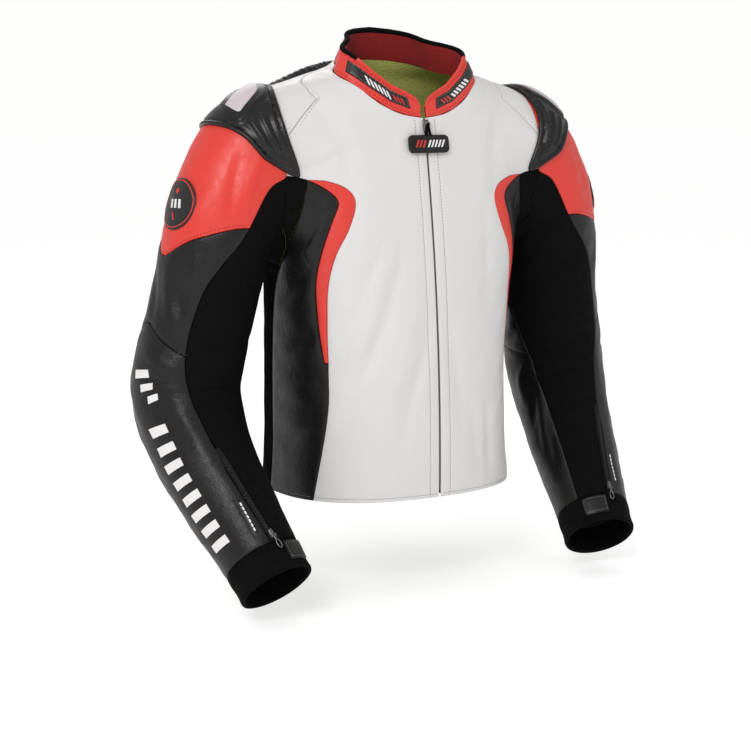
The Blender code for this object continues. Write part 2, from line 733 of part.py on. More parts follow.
def collar_band(name, start, low, high, look, thickness, depth):
    """Stretch of the collar between two shares of its height, all round but the front slit."""
    turn = np.concatenate([np.linspace(start, 20, 4), np.linspace(32, 328, 26), np.linspace(340, 360 - start, 4)])
    sides = [[(t, low) for t in turn], [(360 - start, low), (360 - start, high)],
             [(t, high) for t in turn[::-1]], [(start, high), (start, low)]]
    return panel(name, sides, COLLAR, look, spacing=0.03, thickness=thickness, depth=depth, border=0.014)


def collar(looks):
    collar_band("collar_shell", COLLAR_START, 0.0, 1.0, looks["red"], 0.0026, 0.0)
    collar_band("collar_lining", COLLAR_START, 0.0, 1.0, looks["lining"], 0.0012, 0.0032)
    collar_band("collar_binding", COLLAR_START, 1.03, 1.13, looks["black"], 0.0050, -0.0002)
    badge = [[(13, 0.30), (60, 0.26)], [(60, 0.26), (60, 0.76)], [(60, 0.76), (15, 0.80)], [(15, 0.80), (13, 0.30)]]
    for name, mirror in (("collar_badge_left", False), ("collar_badge_right", True)):
        panel(name, badge, COLLAR, looks["black"], spacing=0.012, thickness=0.0010, depth=-0.0024,
              border=0.007, mirror=mirror)


# ---------------------------------------------------------------- front zip and what lies inside
def front_frame(x, z, depth):
    """Point beside the zip: depth is measured inwards from the front arc."""
    away = np.array([0.0, FRONT_ARC_Y, FRONT_ARC_Z]) - np.array([0.0, front_y(z), z])
    away /= np.linalg.norm(away)
    return np.array([x, front_y(z), z]) + depth * away


def front_strip(name, left, right, near, far, top, bottom, look, mirror=False):
    """Strip that follows the front arc, between two x places and two depths."""
    rows = np.linspace(top, bottom, 17)
    outline = [(left, z) for z in rows] + [(right, z) for z in rows[::-1]]
    return prism(name, outline, front_frame, near, far, look, mirror)


def zip_halves(looks):
    for name, mirror in (("zip_half_left", False), ("zip_half_right", True)):
        front_strip(name, 0.0014, 0.0130, 0.0034, 0.0050, ZIP_TOP, HEM_Z + 0.004, looks["tape"], mirror)


def storm_flap(looks):
    front_strip("storm_flap", -0.0150, 0.0150, 0.0070, 0.0084, ZIP_TOP - 0.008, HEM_Z + 0.004, looks["black"])


def lining(looks):
    edge = front_edge(0.021, -0.082, HEM_Z + 0.012)
    start = edge[-1][0]
    lines = [
        edge,
        [(start, HEM_Z + 0.012), (360 - start, HEM_Z + 0.012)],
        opposite(edge)[::-1],
        neck(360 - edge[0][0], edge[0][0]) - [0, 0.008],
    ]
    hole = armhole(0, 360)
    panel("body_lining", lines, TORSO, looks["lining"], thickness=0.0012, depth=LINING_DEPTH,
          holes=(hole, opposite(hole)), hole_gap=0.009, spacing=0.045, border=0.034)


def back_protector(looks):
    side = smooth(((163, -0.050), (155, -0.100), (152, -0.200), (158, -0.330), (164, -0.430), (170, -0.470)))
    lines = [side, [side[-1], (360 - side[-1][0], side[-1][1])], opposite(side)[::-1],
             [(360 - side[0][0], side[0][1]), side[0]]]
    panel("back_protector", lines, TORSO, looks["foam"], thickness=0.009, depth=0.0105, border=0.03)


def waist_zip(looks):
    """Half of the zip that joins the jacket to riding trousers, inside the back hem."""
    top, bottom = HEM_Z + 0.034, HEM_Z + 0.010
    lines = [[(125, top), (125, bottom)], [(125, bottom), (235, bottom)],
             [(235, bottom), (235, top)], [(235, top), (125, top)]]
    panel("waist_zip", lines, TORSO, looks["tape"], thickness=0.0016, depth=0.0110, border=0.03)


# ---------------------------------------------------------------- sleeves
def sleeve_panels(looks, side, mirror):
    red = [[(turn, d) for turn, d in smooth(RED_EDGE)], sleeve_seam(RED_EDGE[-1][1], 0, 1),
           ring(95, -95, 0.0), sleeve_seam_behind(0, RED_EDGE[-1][1]),
           [(-turn, d) for turn, d in smooth(RED_EDGE)[::-1]]]
    panel("sleeve_red" + side, red, SLEEVE, looks["red"], spacing=0.020, mirror=mirror)
    top = ELBOW_AT - ELBOW_CLEAR
    front, back = sleeve_seam(RED_EDGE[-1][1], top, 1), sleeve_seam_behind(RED_EDGE[-1][1], top)
    outer = [front, ring(front[-1][0], back[-1][0], top), back[::-1],
             [(-turn, d) for turn, d in smooth(RED_EDGE)[::-1]], smooth(RED_EDGE)]
    panel("upper_sleeve_outer" + side, outer, SLEEVE, looks["black"], mirror=mirror)
    inner = [sleeve_seam(0, RED_EDGE[-1][1], 1), front, ring(front[-1][0], 360 + back[-1][0], top),
             sleeve_seam(top, RED_EDGE[-1][1], -1), sleeve_seam(RED_EDGE[-1][1], 0, -1),
             ring(265, 95, 0.0)]
    panel("upper_sleeve_inner" + side, inner, SLEEVE, looks["stretch"], mirror=mirror)


def sleeve_seam_behind(start, stop):
    """The seam behind the sleeve, with angles below zero, for panels on the outer side."""
    return sleeve_seam(start, stop, -1) - [360, 0]


def forearm_panels(looks, side, mirror):
    top = ELBOW_AT + ELBOW_CLEAR
    low = CUFF_TOP
    front = sleeve_seam(top, low, 1)
    slot = ZIP_SLOT * np.interp(front[:, 1], (CUFF_ZIP_TOP - 0.012, CUFF_ZIP_TOP), (0, 1))
    outer_front = front - np.stack([slot, 0 * slot], -1)
    inner_front = front + np.stack([slot, 0 * slot], -1)
    back = sleeve_seam_behind(top, low)
    outer = [outer_front, ring(outer_front[-1][0], back[-1][0], low), back[::-1],
             ring(back[0][0], outer_front[0][0], top)]
    panel("forearm_outer" + side, outer, SLEEVE, looks["black"], mirror=mirror)
    inner = [inner_front, ring(inner_front[-1][0], 360 + back[-1][0], low), sleeve_seam(low, top, -1),
             ring(360 + back[0][0], inner_front[0][0], top)]
    panel("forearm_inner" + side, inner, SLEEVE, looks["stretch"], mirror=mirror)
    inner_edge = ZIP_SLOT - 1.2
    d = np.linspace(CUFF_ZIP_TOP + 0.004, low - 0.002, 8)
    middle = smooth_table([p[0] for p in SLEEVE_SEAM], [p[1] for p in SLEEVE_SEAM], d)
    left, right = np.stack([middle - inner_edge, d], -1), np.stack([middle + inner_edge, d], -1)
    panel("cuff_zip" + side, [left, [left[-1], right[-1]], right[::-1], [right[0], left[0]]], SLEEVE,
          looks["tape"], thickness=0.0014, depth=0.0006, mirror=mirror)


def sleeve_rows(distances, depth, turns=20):
    rows = []
    for d in distances:
        uv = np.array([(360 * k / turns, d) for k in range(turns)])
        points = sleeve_point(uv)
        rows.append(points - depth * skin_normal(points))
    return np.array(rows)


def cuff(looks, side, mirror):
    levels = (CUFF_TOP + 0.0008, (CUFF_TOP + CUFF_END) / 2, CUFF_END - 0.0005)
    flip = [-1, 1, 1] if mirror else [1, 1, 1]
    tube("cuff" + side, sleeve_rows(levels, 0.0) * flip, sleeve_rows(levels, 0.0030) * flip, looks["stretch"])


def elbow(looks, side, mirror):
    """Hollow ball of stretch fabric inside the elbow gap, with the elbow armour inside it."""
    flip = np.array([-1, 1, 1] if mirror else [1, 1, 1])
    centre, outward, forward = (v[0] for v in sleeve_frame(np.array([ELBOW_AT])))
    down = np.cross(outward, forward)
    tilt = math.radians(14)
    axis = down * math.cos(tilt) + forward * math.sin(tilt)
    side_way = np.cross(forward, axis)
    side_way /= np.linalg.norm(side_way)
    front_way = np.cross(axis, side_way)

    def ball(radius, polar, turn):
        a, b = math.radians(polar), math.radians(turn)
        return centre + radius * (math.cos(a) * axis + math.sin(a) * (math.cos(b) * side_way
                                                                     + math.sin(b) * front_way))

    polars = np.linspace(48, 122, 5)
    turns = np.arange(0, 360, 20)
    rows = [[[ball(radius, p, t) for t in turns] for p in polars] for radius in (ELBOW_BALL, ELBOW_BALL - 0.0020)]
    tube("elbow_stretch" + side, np.array(rows[0]) * flip, np.array(rows[1]) * flip, looks["stretch"])
    outline = smooth([(-52, 88), (-40, 60), (0, 52), (40, 60), (52, 88), (40, 112), (0, 118), (-40, 112), (-52, 88)])
    flat_outline = [(turn / 60, polar / 60) for turn, polar in outline[:-1]]
    prism("elbow_armour" + side, flat_outline[::2],
          lambda a, b, r: ball(r, b * 60, a * 60 + ARMOUR_TURN),
          ELBOW_BALL - 0.0042, ELBOW_BALL - 0.0095, looks["foam"], mirror)


def cup_outline(scale=1.0):
    middle = np.mean(CUP_POINTS, axis=0)
    return [tuple(middle + scale * (np.array(p) - middle)) for p in CUP_POINTS]


def shoulder_cup(looks, side, mirror):
    chart = local_chart(CUP_ORIGIN, CUP_NORMAL, CUP_UP)
    outline = chart.of(cup_outline())
    closed = np.vstack([outline, outline[:1]])
    panel("shoulder_cup" + side, [closed], chart, looks["rubber"], spacing=0.022, border=0.016,
          thickness=0.0060, depth=-0.0088, mirror=mirror)
    insert = chart.of(INSERT_POINTS)
    panel("cup_insert" + side, [np.vstack([insert, insert[:1]])], chart, looks["insert"], spacing=0.02,
          border=0.016, thickness=0.0012, depth=-0.0124, mirror=mirror)
    inner = chart.of(cup_outline(0.74)) + [0.0, -0.004]
    panel("shoulder_armour" + side, [np.vstack([inner, inner[:1]])], chart, looks["foam"], spacing=0.03,
          border=0.022, thickness=0.0060, depth=0.0090, mirror=mirror)


def sleeve_badge(looks, side, mirror):
    chart = local_chart(BADGE_CENTRE, BADGE_NORMAL, (0, 0, 1))
    circle = np.array([(BADGE_RADIUS * math.cos(a), BADGE_RADIUS * math.sin(a))
                       for a in np.linspace(0, 2 * math.pi, 17)])
    panel("sleeve_badge" + side, [circle], chart, looks["black"], spacing=0.024, border=0.013,
          thickness=0.0014, depth=-0.0028, mirror=mirror)


def sleeves(looks):
    for side, mirror in (("_left", False), ("_right", True)):
        sleeve_panels(looks, side, mirror)
        shoulder_cup(looks, side, mirror)
        sleeve_badge(looks, side, mirror)
        elbow(looks, side, mirror)
        forearm_panels(looks, side, mirror)
        cuff(looks, side, mirror)
        cuff_fittings(looks, side, mirror)


# ---------------------------------------------------------------- sliders, pulls and tabs
def box_mesh(low, high, frame):
    """Box between two corners of a local frame, given as a function of (a, b, c)."""
    corners = [frame(a, b, c) for c in (low[2], high[2]) for b in (low[1], high[1]) for a in (low[0], high[0])]
    faces = [(0, 2, 3, 1), (4, 5, 7, 6), (0, 1, 5, 4), (2, 6, 7, 3), (0, 4, 6, 2), (1, 3, 7, 5)]
    mesh = bpy.data.meshes.new("box")
    mesh.from_pydata([tuple(p) for p in corners], [], faces)
    solid = bmesh.new()
    solid.from_mesh(mesh)
    bmesh.ops.recalc_face_normals(solid, faces=solid.faces)
    solid.to_mesh(mesh)
    solid.free()
    return mesh


def joined_boxes(name, boxes, frame, look):
    """One solid from overlapping boxes of a local frame."""
    body = place(name, box_mesh(*boxes[0], frame), look)
    for k, (low, high) in enumerate(boxes[1:]):
        cutter = place(f"{name}_part{k}", box_mesh(low, high, frame), look)
        cutter.hide_render = True
        cutter.display_type = "WIRE"
        join = body.modifiers.new("join", "BOOLEAN")
        join.operation = "UNION"
        join.solver = "EXACT"
        join.object = cutter
    return body


def front_zip_slider(looks):
    top = ZIP_TOP - SLIDER_DROP

    def frame(a, b, c):
        return front_frame(a, top - b, c)

    plate = ((-0.0042, 0.0, -0.0032), (0.0042, 0.016, -0.0010))
    neck_block = ((-0.0009, 0.001, -0.0014), (0.0009, 0.007, 0.0060))
    back_plate = ((-0.0042, 0.0, 0.0054), (0.0042, 0.015, 0.0065))
    ears = [((x, EAR_DROP - 0.0022, -EAR_PROUD - 0.0016), (x + 0.0012, EAR_DROP + 0.0022, -0.0028))
            for x in (-0.0038, 0.0026)]
    joined_boxes("zip_slider", [plate, neck_block, back_plate, *ears], frame, looks["metal"])


def front_zip_pull(looks):
    """Cord stem and leather grip, lying against the jacket below the slider's ears."""
    half, tall, corner = PULL_GRIP[0] / 2, PULL_GRIP[1], 0.006
    right = [(PULL_STEM_HALF, 0.0010), (PULL_STEM_HALF, -PULL_STEM)]
    for angle in np.radians((90, 60, 30, 0)):
        right.append((half - corner + corner * math.cos(angle), -PULL_STEM - corner + corner * math.sin(angle)))
    for angle in np.radians((0, -30, -60, -90)):
        right.append((half - corner + corner * math.cos(angle),
                      -PULL_STEM - tall + corner + corner * math.sin(angle)))
    outline = right + [(-x, z) for x, z in right[::-1]]
    pivot_z = ZIP_TOP - SLIDER_DROP - EAR_DROP
    prism("zip_pull", outline, lambda a, b, c: front_frame(a, pivot_z + b, c),
          -EAR_PROUD - 0.0014, -EAR_PROUD + 0.0014, looks["black"])


def arm_frame(turn, d):
    """Point, outward, down-the-sleeve and sideways directions on the left sleeve's skin."""
    uv = np.array([(turn, d - 0.004), (turn, d + 0.004), (turn, d)])
    above, below, point = sleeve_point(uv)
    down = (below - above) / np.linalg.norm(below - above)
    outward = skin_normal(point[None])[0]
    outward -= (outward @ down) * down
    outward /= np.linalg.norm(outward)
    return point, outward, down, np.cross(outward, down)


def cuff_fittings(looks, side, mirror):
    flip = np.array([-1, 1, 1] if mirror else [1, 1, 1])
    low, high = sleeve_point(np.array([(CUFF_SLIDER_ANGLE_LOW, CUFF_TOP - 0.010),
                                       (CUFF_SLIDER_ANGLE_HIGH, CUFF_ZIP_TOP + 0.006)]))
    _, outward, _, _ = arm_frame(CUFF_SLIDER_ANGLE_LOW, CUFF_TOP - 0.010)
    up = (high - low) / np.linalg.norm(high - low)
    outward = outward - (outward @ up) * up
    outward /= np.linalg.norm(outward)
    across = np.cross(up, outward)

    def frame(a, b, c):
        return (low + a * across + b * up + c * outward) * flip

    plate = ((-0.0028, -0.006, 0.0022), (0.0028, 0.006, 0.0036))
    ears = [((x, -0.006, 0.0030), (x + 0.0008, -0.002, 0.0056)) for x in (-0.0026, 0.0018)]
    joined_boxes("cuff_slider" + side, [plate, *ears], frame, looks["metal"])
    pull = [(-0.0014, 0.0006), (-0.0014, -0.0050), (-0.0026, -0.0070), (-0.0026, -0.0180), (0.0026, -0.0180),
            (0.0026, -0.0070), (0.0014, -0.0050), (0.0014, 0.0006)]
    prism("cuff_pull" + side, pull, lambda a, b, c: frame(a, b - 0.0040, c), 0.0052, 0.0040, looks["metal"])
    cuff_tab(looks, side, mirror)


def cuff_tab(looks, side, mirror):
    """Hook-and-loop tab that closes the cuff over the end of the zip."""
    outline = [[(TAB_TURN, TAB_D[0]), (TAB_TURN, TAB_D[1])],
               smooth([(TAB_TURN, TAB_D[1]), (TAB_END - 5, TAB_D[1]), (TAB_END, TAB_D[1] - 0.005),
                       (TAB_END, TAB_D[0] + 0.005), (TAB_END - 5, TAB_D[0]), (TAB_TURN, TAB_D[0])])]
    panel("cuff_tab" + side, outline, SLEEVE, looks["stretch"], spacing=0.014, border=0.008,
          thickness=0.0018, depth=-0.0028, mirror=mirror)


def torso(looks):
    front_panels(looks["white"])
    side_trims(looks["red"])
    side_panels(looks["black"])
    side_stretches(looks["stretch"])
    back_sides(looks["black"])
    back_panel(looks["white"])
    shoulder_panels(looks["white"])
    shoulder_stretches(looks["stretch"])
    collar(looks)
    zip_halves(looks)
    storm_flap(looks)
    lining(looks)
    back_protector(looks)
    waist_zip(looks)
    front_zip_slider(looks)
    front_zip_pull(looks)


def materials():
    return {
        "white": material("white_leather", WHITE, 0.45),
        "red": material("red_leather", RED, 0.45),
        "black": material("black_leather", BLACK, 0.40),
        "stretch": material("black_stretch", BLACK, 0.85),
        "lining": material("lining", (0.35, 0.02, 0.03), 0.8),
        "foam": material("armour_foam", (0.05, 0.05, 0.06), 0.7),
        "rubber": material("moulded_cup", (0.02, 0.02, 0.02), 0.3),
        "insert": material("cup_insert", (0.72, 0.66, 0.69), 0.4),
        "metal": material("zip_metal", (0.05, 0.05, 0.05), 0.3, 1.0),
        "tape": material("zip_tape", (0.02, 0.02, 0.02), 0.8),
    }


def build():
    clear_scene()
    looks = materials()
    torso(looks)
    sleeves(looks)


build()
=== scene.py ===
"""Leather riding jacket: the looks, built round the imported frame.

Frame: metres, +Z up, +X towards the wearer's left, -Y to the front.
The origin is the middle of the neck opening, level with the shoulder neck points.
Every panel is a fine patch of the same outer skin that the part's panels use, with its
seams, folds and stitches in its surface. Left pieces are worked out once and mirrored.
"""

import json
import math

import bpy
import numpy as np
from mathutils import Matrix
from mathutils.geometry import delaunay_2d_cdt

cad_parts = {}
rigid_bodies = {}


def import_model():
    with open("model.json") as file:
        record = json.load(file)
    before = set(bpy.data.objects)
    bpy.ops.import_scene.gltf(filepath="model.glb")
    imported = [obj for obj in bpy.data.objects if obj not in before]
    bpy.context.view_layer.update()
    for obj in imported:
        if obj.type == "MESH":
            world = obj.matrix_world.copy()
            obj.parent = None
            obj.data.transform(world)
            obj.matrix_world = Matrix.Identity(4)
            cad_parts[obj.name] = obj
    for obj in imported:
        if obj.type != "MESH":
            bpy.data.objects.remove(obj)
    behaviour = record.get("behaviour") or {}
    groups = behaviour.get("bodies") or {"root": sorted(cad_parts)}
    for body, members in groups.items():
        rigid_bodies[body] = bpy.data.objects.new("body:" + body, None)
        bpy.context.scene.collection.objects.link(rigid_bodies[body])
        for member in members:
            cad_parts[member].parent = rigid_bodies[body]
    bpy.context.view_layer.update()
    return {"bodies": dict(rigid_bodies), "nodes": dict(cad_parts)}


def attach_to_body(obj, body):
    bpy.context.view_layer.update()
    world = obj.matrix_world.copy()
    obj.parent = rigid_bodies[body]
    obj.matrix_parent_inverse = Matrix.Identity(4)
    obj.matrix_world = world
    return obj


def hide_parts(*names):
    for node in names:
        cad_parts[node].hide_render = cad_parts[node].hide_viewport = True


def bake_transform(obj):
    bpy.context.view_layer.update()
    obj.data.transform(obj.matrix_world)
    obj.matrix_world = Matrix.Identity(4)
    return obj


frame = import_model()

# ---------------------------------------------------------------- the part's own dimensions
LEATHER = 0.0024          # panel thickness
SEAM_GAP = 0.00012        # half of the clearance between neighbouring pieces
HEM_Z = -0.560            # height of the hem
ARMHOLE_X = 0.1915        # plane of the armhole seam
ARMHOLE_GAP = 0.0003      # the torso panels stop this far before that plane
ELBOW_AT = 0.335          # distance down the sleeve of the elbow hinge
ELBOW_CLEAR = 0.050       # the sleeve shells stop this far from the elbow hinge
CUFF_TOP = 0.562          # distance down the sleeve where the cuff band starts
LINING_DEPTH = 0.0070     # from the outer skin to the lining's outer face
COLLAR_START = 2.6        # angle from the front where the collar's ends stand
COLLAR_LEAN = ((0, 0.20), (40, 0.40), (80, 0.50), (180, 0.40))    # inward lean by angle from the front
TUCK = 0.030              # under the arm this much of the sleeve is drawn in to the torso
TUCK_CLEAR = 0.0004       # and stops this far from it
ZIP_TOP = -0.0725
SLIDER_DROP = 0.001       # the slider's top lies this far below the zip's top
EAR_DROP = 0.0062         # the pull's hinge lies this far below the slider's top
EAR_PROUD = 0.0052        # and this far in front of the jacket
PULL_STEM = 0.0135        # from the hinge down to the grip
PULL_GRIP = (0.060, 0.023)
CUFF_SLIDER_ANGLE_LOW = 88.3
CUFF_SLIDER_ANGLE_HIGH = 79.6
TAB_TURN = 99.0           # the tab is sewn down at this angle and ends at the next
TAB_END = 142.0
TAB_D = (0.5660, 0.5930)
ZIP_SLOT = 5.0            # half of the cuff zip's slot, in degrees round the sleeve
CUFF_ZIP_TOP = 0.434      # distance down the sleeve where the cuff zip starts
ELBOW_BALL = 0.0620       # outer radius of the elbow's ball
ARMOUR_TURN = 250         # middle of the elbow armour, in degrees round the elbow's ball
CUP_ORIGIN = (0.222, 0.012, -0.062)
CUP_NORMAL = (0.62, -0.10, 0.78)
CUP_UP = (-0.78, 0.0, 0.62)
CUP_FACING = (0.60, -0.50, 0.62)   # looks squarely at the whole cup, its front tip included
BADGE_CENTRE = (0.300, 0.008, -0.176)
BADGE_NORMAL = (0.97, -0.16, 0.20)
BADGE_RADIUS = 0.033
# outline of the moulded shoulder cup: inner top, front edge, front tip, outer edge, back
CUP_POINTS = (
    (0.1770, 0.045, -0.034), (0.1770, 0.012, -0.030), (0.1860, -0.020, -0.042), (0.1900, -0.045, -0.066),
    (0.1860, -0.056, -0.094), (0.1770, -0.060, -0.130), (0.1860, -0.060, -0.137), (0.2190, -0.057, -0.122),
    (0.2300, -0.054, -0.110), (0.2410, -0.045, -0.095), (0.2550, -0.027, -0.082), (0.2640, 0.000, -0.078),
    (0.2640, 0.026, -0.080), (0.2550, 0.050, -0.086), (0.2360, 0.072, -0.100), (0.2120, 0.082, -0.112),
    (0.1930, 0.080, -0.096), (0.1900, 0.068, -0.062),
)
INSERT_POINTS = ((0.240, 0.014, -0.055), (0.238, -0.016, -0.062), (0.231, -0.018, -0.058),
                 (0.199, 0.004, -0.036), (0.196, 0.020, -0.032), (0.206, 0.022, -0.034))
# the front edge is one arc, so that the zip slider can follow it
FRONT_ARC_Y = 2.3716
FRONT_ARC_Z = -0.4872
FRONT_ARC_R = 2.4785
# torso sections: height, half width, y of the widest place, back y, squareness
BODY_LEVELS = (
    (-0.600, 0.172, 0.036, 0.176, 2.4),
    (-0.480, 0.160, 0.044, 0.172, 2.5),
    (-0.410, 0.160, 0.044, 0.166, 2.5),
    (-0.300, 0.166, 0.030, 0.146, 2.6),
    (-0.240, 0.172, 0.022, 0.134, 2.8),
    (-0.150, 0.182, 0.018, 0.126, 2.6),
    (-0.090, 0.182, 0.015, 0.115, 2.3),
    (-0.050, 0.172, 0.015, 0.103, 2.2),
    (-0.030, 0.152, 0.015, 0.096, 2.1),
    (-0.015, 0.120, 0.022, 0.092, 2.1),
    (0.000, 0.074, 0.034, 0.086, 2.1),
    (0.030, 0.045, 0.042, 0.074, 2.1),
)
# inside of the left arm: x, y, z, radius
ARM_CHAIN = (
    (0.110, 0.015, -0.100, 0.058),
    (0.195, 0.012, -0.107, 0.068),
    (0.232, 0.013, -0.155, 0.070),
    (0.254, 0.017, -0.220, 0.069),
    (0.268, 0.032, -0.300, 0.068),
    (0.286, 0.045, -0.385, 0.070),
    (0.290, 0.042, -0.430, 0.070),
    (0.284, 0.010, -0.490, 0.064),
    (0.272, -0.035, -0.545, 0.058),
    (0.258, -0.085, -0.600, 0.051),
    (0.248, -0.122, -0.642, 0.047),
)
# rings of the left sleeve: distance down it, centre x, y, z, roll and pitch in degrees
SLEEVE_RINGS = (
    (0.000, ARMHOLE_X, 0.012, -0.135, 90, 0),
    (0.035, 0.215, 0.012, -0.150, 74, 0),
    (0.080, 0.240, 0.014, -0.188, 48, -4),
    (0.120, 0.254, 0.018, -0.225, 22, -9),
    (0.200, 0.268, 0.032, -0.300, 12, -9),
    (0.285, 0.286, 0.045, -0.385, 6, 0),
    (0.335, 0.290, 0.042, -0.430, 2, 18),
    (0.400, 0.284, 0.010, -0.490, -6, 33),
    (0.470, 0.272, -0.035, -0.545, -11, 40),
    (0.545, 0.258, -0.085, -0.600, -13, 42),
    (0.605, 0.248, -0.122, -0.642, -13, 42),
)
# seams on the torso as (angle from the front, height); the wearer's left side
NECKLINE = ((0, -0.071), (20, -0.066), (38, -0.052), (50, -0.034), (60, -0.021), (72, -0.009),
            (90, 0.001), (112, 0.007), (140, 0.010), (180, 0.011))
TRIM_TOP = (65.5, -0.147)          # white, red and both black panels meet here
TRIM_OUTER = (TRIM_TOP, (59, -0.149), (51, -0.160), (47.5, -0.178), (50, -0.210), (55, -0.243),
              (57.5, -0.285), (56.5, -0.335), (54.8, -0.380))
TRIM_INNER = (TRIM_TOP, (58.5, -0.162), (54.8, -0.176), (57, -0.200), (61, -0.240), (63.2, -0.280),
              (61, -0.330), (56.8, -0.380))
SIDE_FRONT_LOW = ((54.8, -0.380), (54.5, -0.430), (57, -0.480), (63.5, HEM_Z))
STRETCH_FRONT = (TRIM_TOP, (70, -0.200), (82, -0.245), (92, -0.300), (95, -0.400), (96, HEM_Z))
STRETCH_BACK = ((112, -0.245), (114, -0.300), (116, -0.400), (118, HEM_Z))
BACK_SEAM = ((126, -0.200), (136, -0.290), (140, -0.400), (138, HEM_Z))
# the leather and stretch seams along the sleeve as (distance down it, angle from its outer line)
SLEEVE_SEAM_BACK = ((0.0, 265), (0.050, 266), (0.089, 268), (0.140, 245), (0.190, 205), (0.243, 170),
                    (0.304, 154), (0.356, 148), (0.442, 147), (0.605, 149))
SLEEVE_SEAM = ((0.0, 95), (0.050, 95), (0.088, 92), (0.148, 71), (0.185, 60), (0.224, 57), (0.262, 60),
               (0.342, 71), (0.397, 75), (0.431, 79), (0.505, 84), (0.605, 91))
RED_EDGE = ((0, 0.153), (8, 0.152), (41, 0.123), (70, 0.103), (92, 0.089))
SHOULDER_FRONT = (67.4, -0.045)    # corners of the shoulder panel
SHOULDER_TOP = (95.5, -0.007)
SHOULDER_BACK = (98.0, -0.024)
ARM_FRONT_TOP = 60                 # angles at the armhole where seams end
ARM_FRONT_LOW = 95
ARM_SIDE_BACK = 235
ARM_BACK_LOW = 262
ARM_BACK_MID = 278
ARM_BACK_TOP = 345
YOKE_INNER = ((132, 0.0093), (130, -0.030), (122, -0.080), (114, -0.125))

# ---------------------------------------------------------------- shared shapes


def smooth_table(xs, ys, x):
    """Monotone cubic through (xs, ys); xs rise."""
    xs = np.asarray(xs, float)
    ys = np.asarray(ys, float)
    x = np.clip(x, xs[0], xs[-1])
    step = np.diff(xs)
    slope = np.diff(ys) / step
    tangent = np.concatenate([[slope[0]], np.zeros(len(slope) - 1), [slope[-1]]])
    for i in range(1, len(slope)):
        if slope[i - 1] * slope[i] > 0:
            tangent[i] = 2 * slope[i - 1] * slope[i] / (slope[i - 1] + slope[i])
    i = np.clip(np.searchsorted(xs, x) - 1, 0, len(step) - 1)
    t = (x - xs[i]) / step[i]
    return ((1 + 2 * t) * (1 - t) ** 2 * ys[i] + t * (1 - t) ** 2 * step[i] * tangent[i]
            + t * t * (3 - 2 * t) * ys[i + 1] + t * t * (t - 1) * step[i] * tangent[i + 1])


def curve_through(points, steps):
    """Catmull-Rom curve through the points."""
    p = np.array(points, float)
    p = np.vstack([2 * p[0] - p[1], p, 2 * p[-1] - p[-2]])
    out = []
    for i in range(1, len(p) - 2):
        for t in np.arange(steps) / steps:
            out.append(0.5 * (2 * p[i] + (p[i + 1] - p[i - 1]) * t
                              + (2 * p[i - 1] - 5 * p[i] + 4 * p[i + 1] - p[i + 2]) * t * t
                              + (3 * p[i] - p[i - 1] - 3 * p[i + 1] + p[i + 2]) * t ** 3))
    out.append(p[-2])
    return np.array(out)


LEVELS = np.array(BODY_LEVELS)
RINGS = np.array(SLEEVE_RINGS)
CHAIN = curve_through(ARM_CHAIN, 3)


def level(z, column):
    return smooth_table(LEVELS[:, 0], LEVELS[:, column], z)


def front_y(z):
    return FRONT_ARC_Y - np.sqrt(FRONT_ARC_R ** 2 - (z - FRONT_ARC_Z) ** 2)


def body_distance(p):
    x, y, z = p[..., 0], p[..., 1], p[..., 2]
    half = level(z, 1)
    middle = level(z, 2)
    power = level(z, 4)
    depth = np.where(y < middle, middle - front_y(z), level(z, 3) - middle)
    size = ((np.abs(x) / half) ** power + (np.abs(y - middle) / depth) ** power + 1e-12) ** (1 / power)
    return (size - 1) * np.sqrt(half * depth)


def arm_distance(p):
    q = p * np.where(p[..., :1] < 0, [-1, 1, 1], 1)
    best = np.full(q.shape[:-1], 9.0)
    for a, b in zip(CHAIN[:-1], CHAIN[1:]):
        along = b[:3] - a[:3]
        t = np.clip(((q - a[:3]) @ along) / (along @ along), 0, 1)
        away = np.linalg.norm(q - a[:3] - t[..., None] * along, axis=-1)
        best = np.minimum(best, away - (a[3] + t * (b[3] - a[3])))
    return best


def skin(p):
    """Distance, roughly, from the jacket's outer skin: torso and arms, blended at the shoulder."""
    body = body_distance(p)
    arm = arm_distance(p)
    blend = np.interp(p[..., 2], (-0.26, -0.20), (0.004, 0.050))
    share = np.clip(0.5 + 0.5 * (arm - body) / blend, 0, 1)
    return arm * (1 - share) + body * share - blend * share * (1 - share)


def skin_normal(p):
    e = 0.0008
    g = np.stack([skin(p + e * axis) - skin(p - e * axis) for axis in np.eye(3)], -1)
    return g / np.linalg.norm(g, axis=-1, keepdims=True)


def cast(start, direction, reach):
    """First point along each ray where it leaves the skin, no further than its reach."""
    r = np.linspace(0.08, 1.0, 40)[None, :] * np.broadcast_to(reach, len(start))[:, None]
    outside = skin(start[:, None, :] + direction[:, None, :] * r[..., None]) > 0
    first = np.where(outside.any(1), np.maximum(outside.argmax(1), 1), r.shape[1] - 1)
    rows = np.arange(len(start))
    low, high = r[rows, first - 1], r[rows, first]
    for _ in range(18):
        mid = (low + high) / 2
        out = skin(start + direction * mid[:, None]) > 0
        high = np.where(out, mid, high)
        low = np.where(out, low, mid)
    return start + direction * ((low + high) / 2)[:, None]


def torso_point(uv):
    """Chart of the torso: (angle from the front in degrees, height) to a skin point."""
    turn = np.radians(uv[:, 0])
    z = uv[:, 1]
    start = np.stack([0 * z, level(z, 2), z], -1)
    to_armhole = (ARMHOLE_X - ARMHOLE_GAP) / np.maximum(np.abs(np.sin(turn)), 0.3)
    return cast(start, np.stack([np.sin(turn), -np.cos(turn), 0 * z], -1), np.minimum(0.30, to_armhole))


def torso_chart(p):
    turn = np.degrees(np.arctan2(p[:, 0], level(p[:, 2], 2) - p[:, 1]))
    return np.stack([np.where(turn < -1, turn + 360, turn), p[:, 2]], -1)


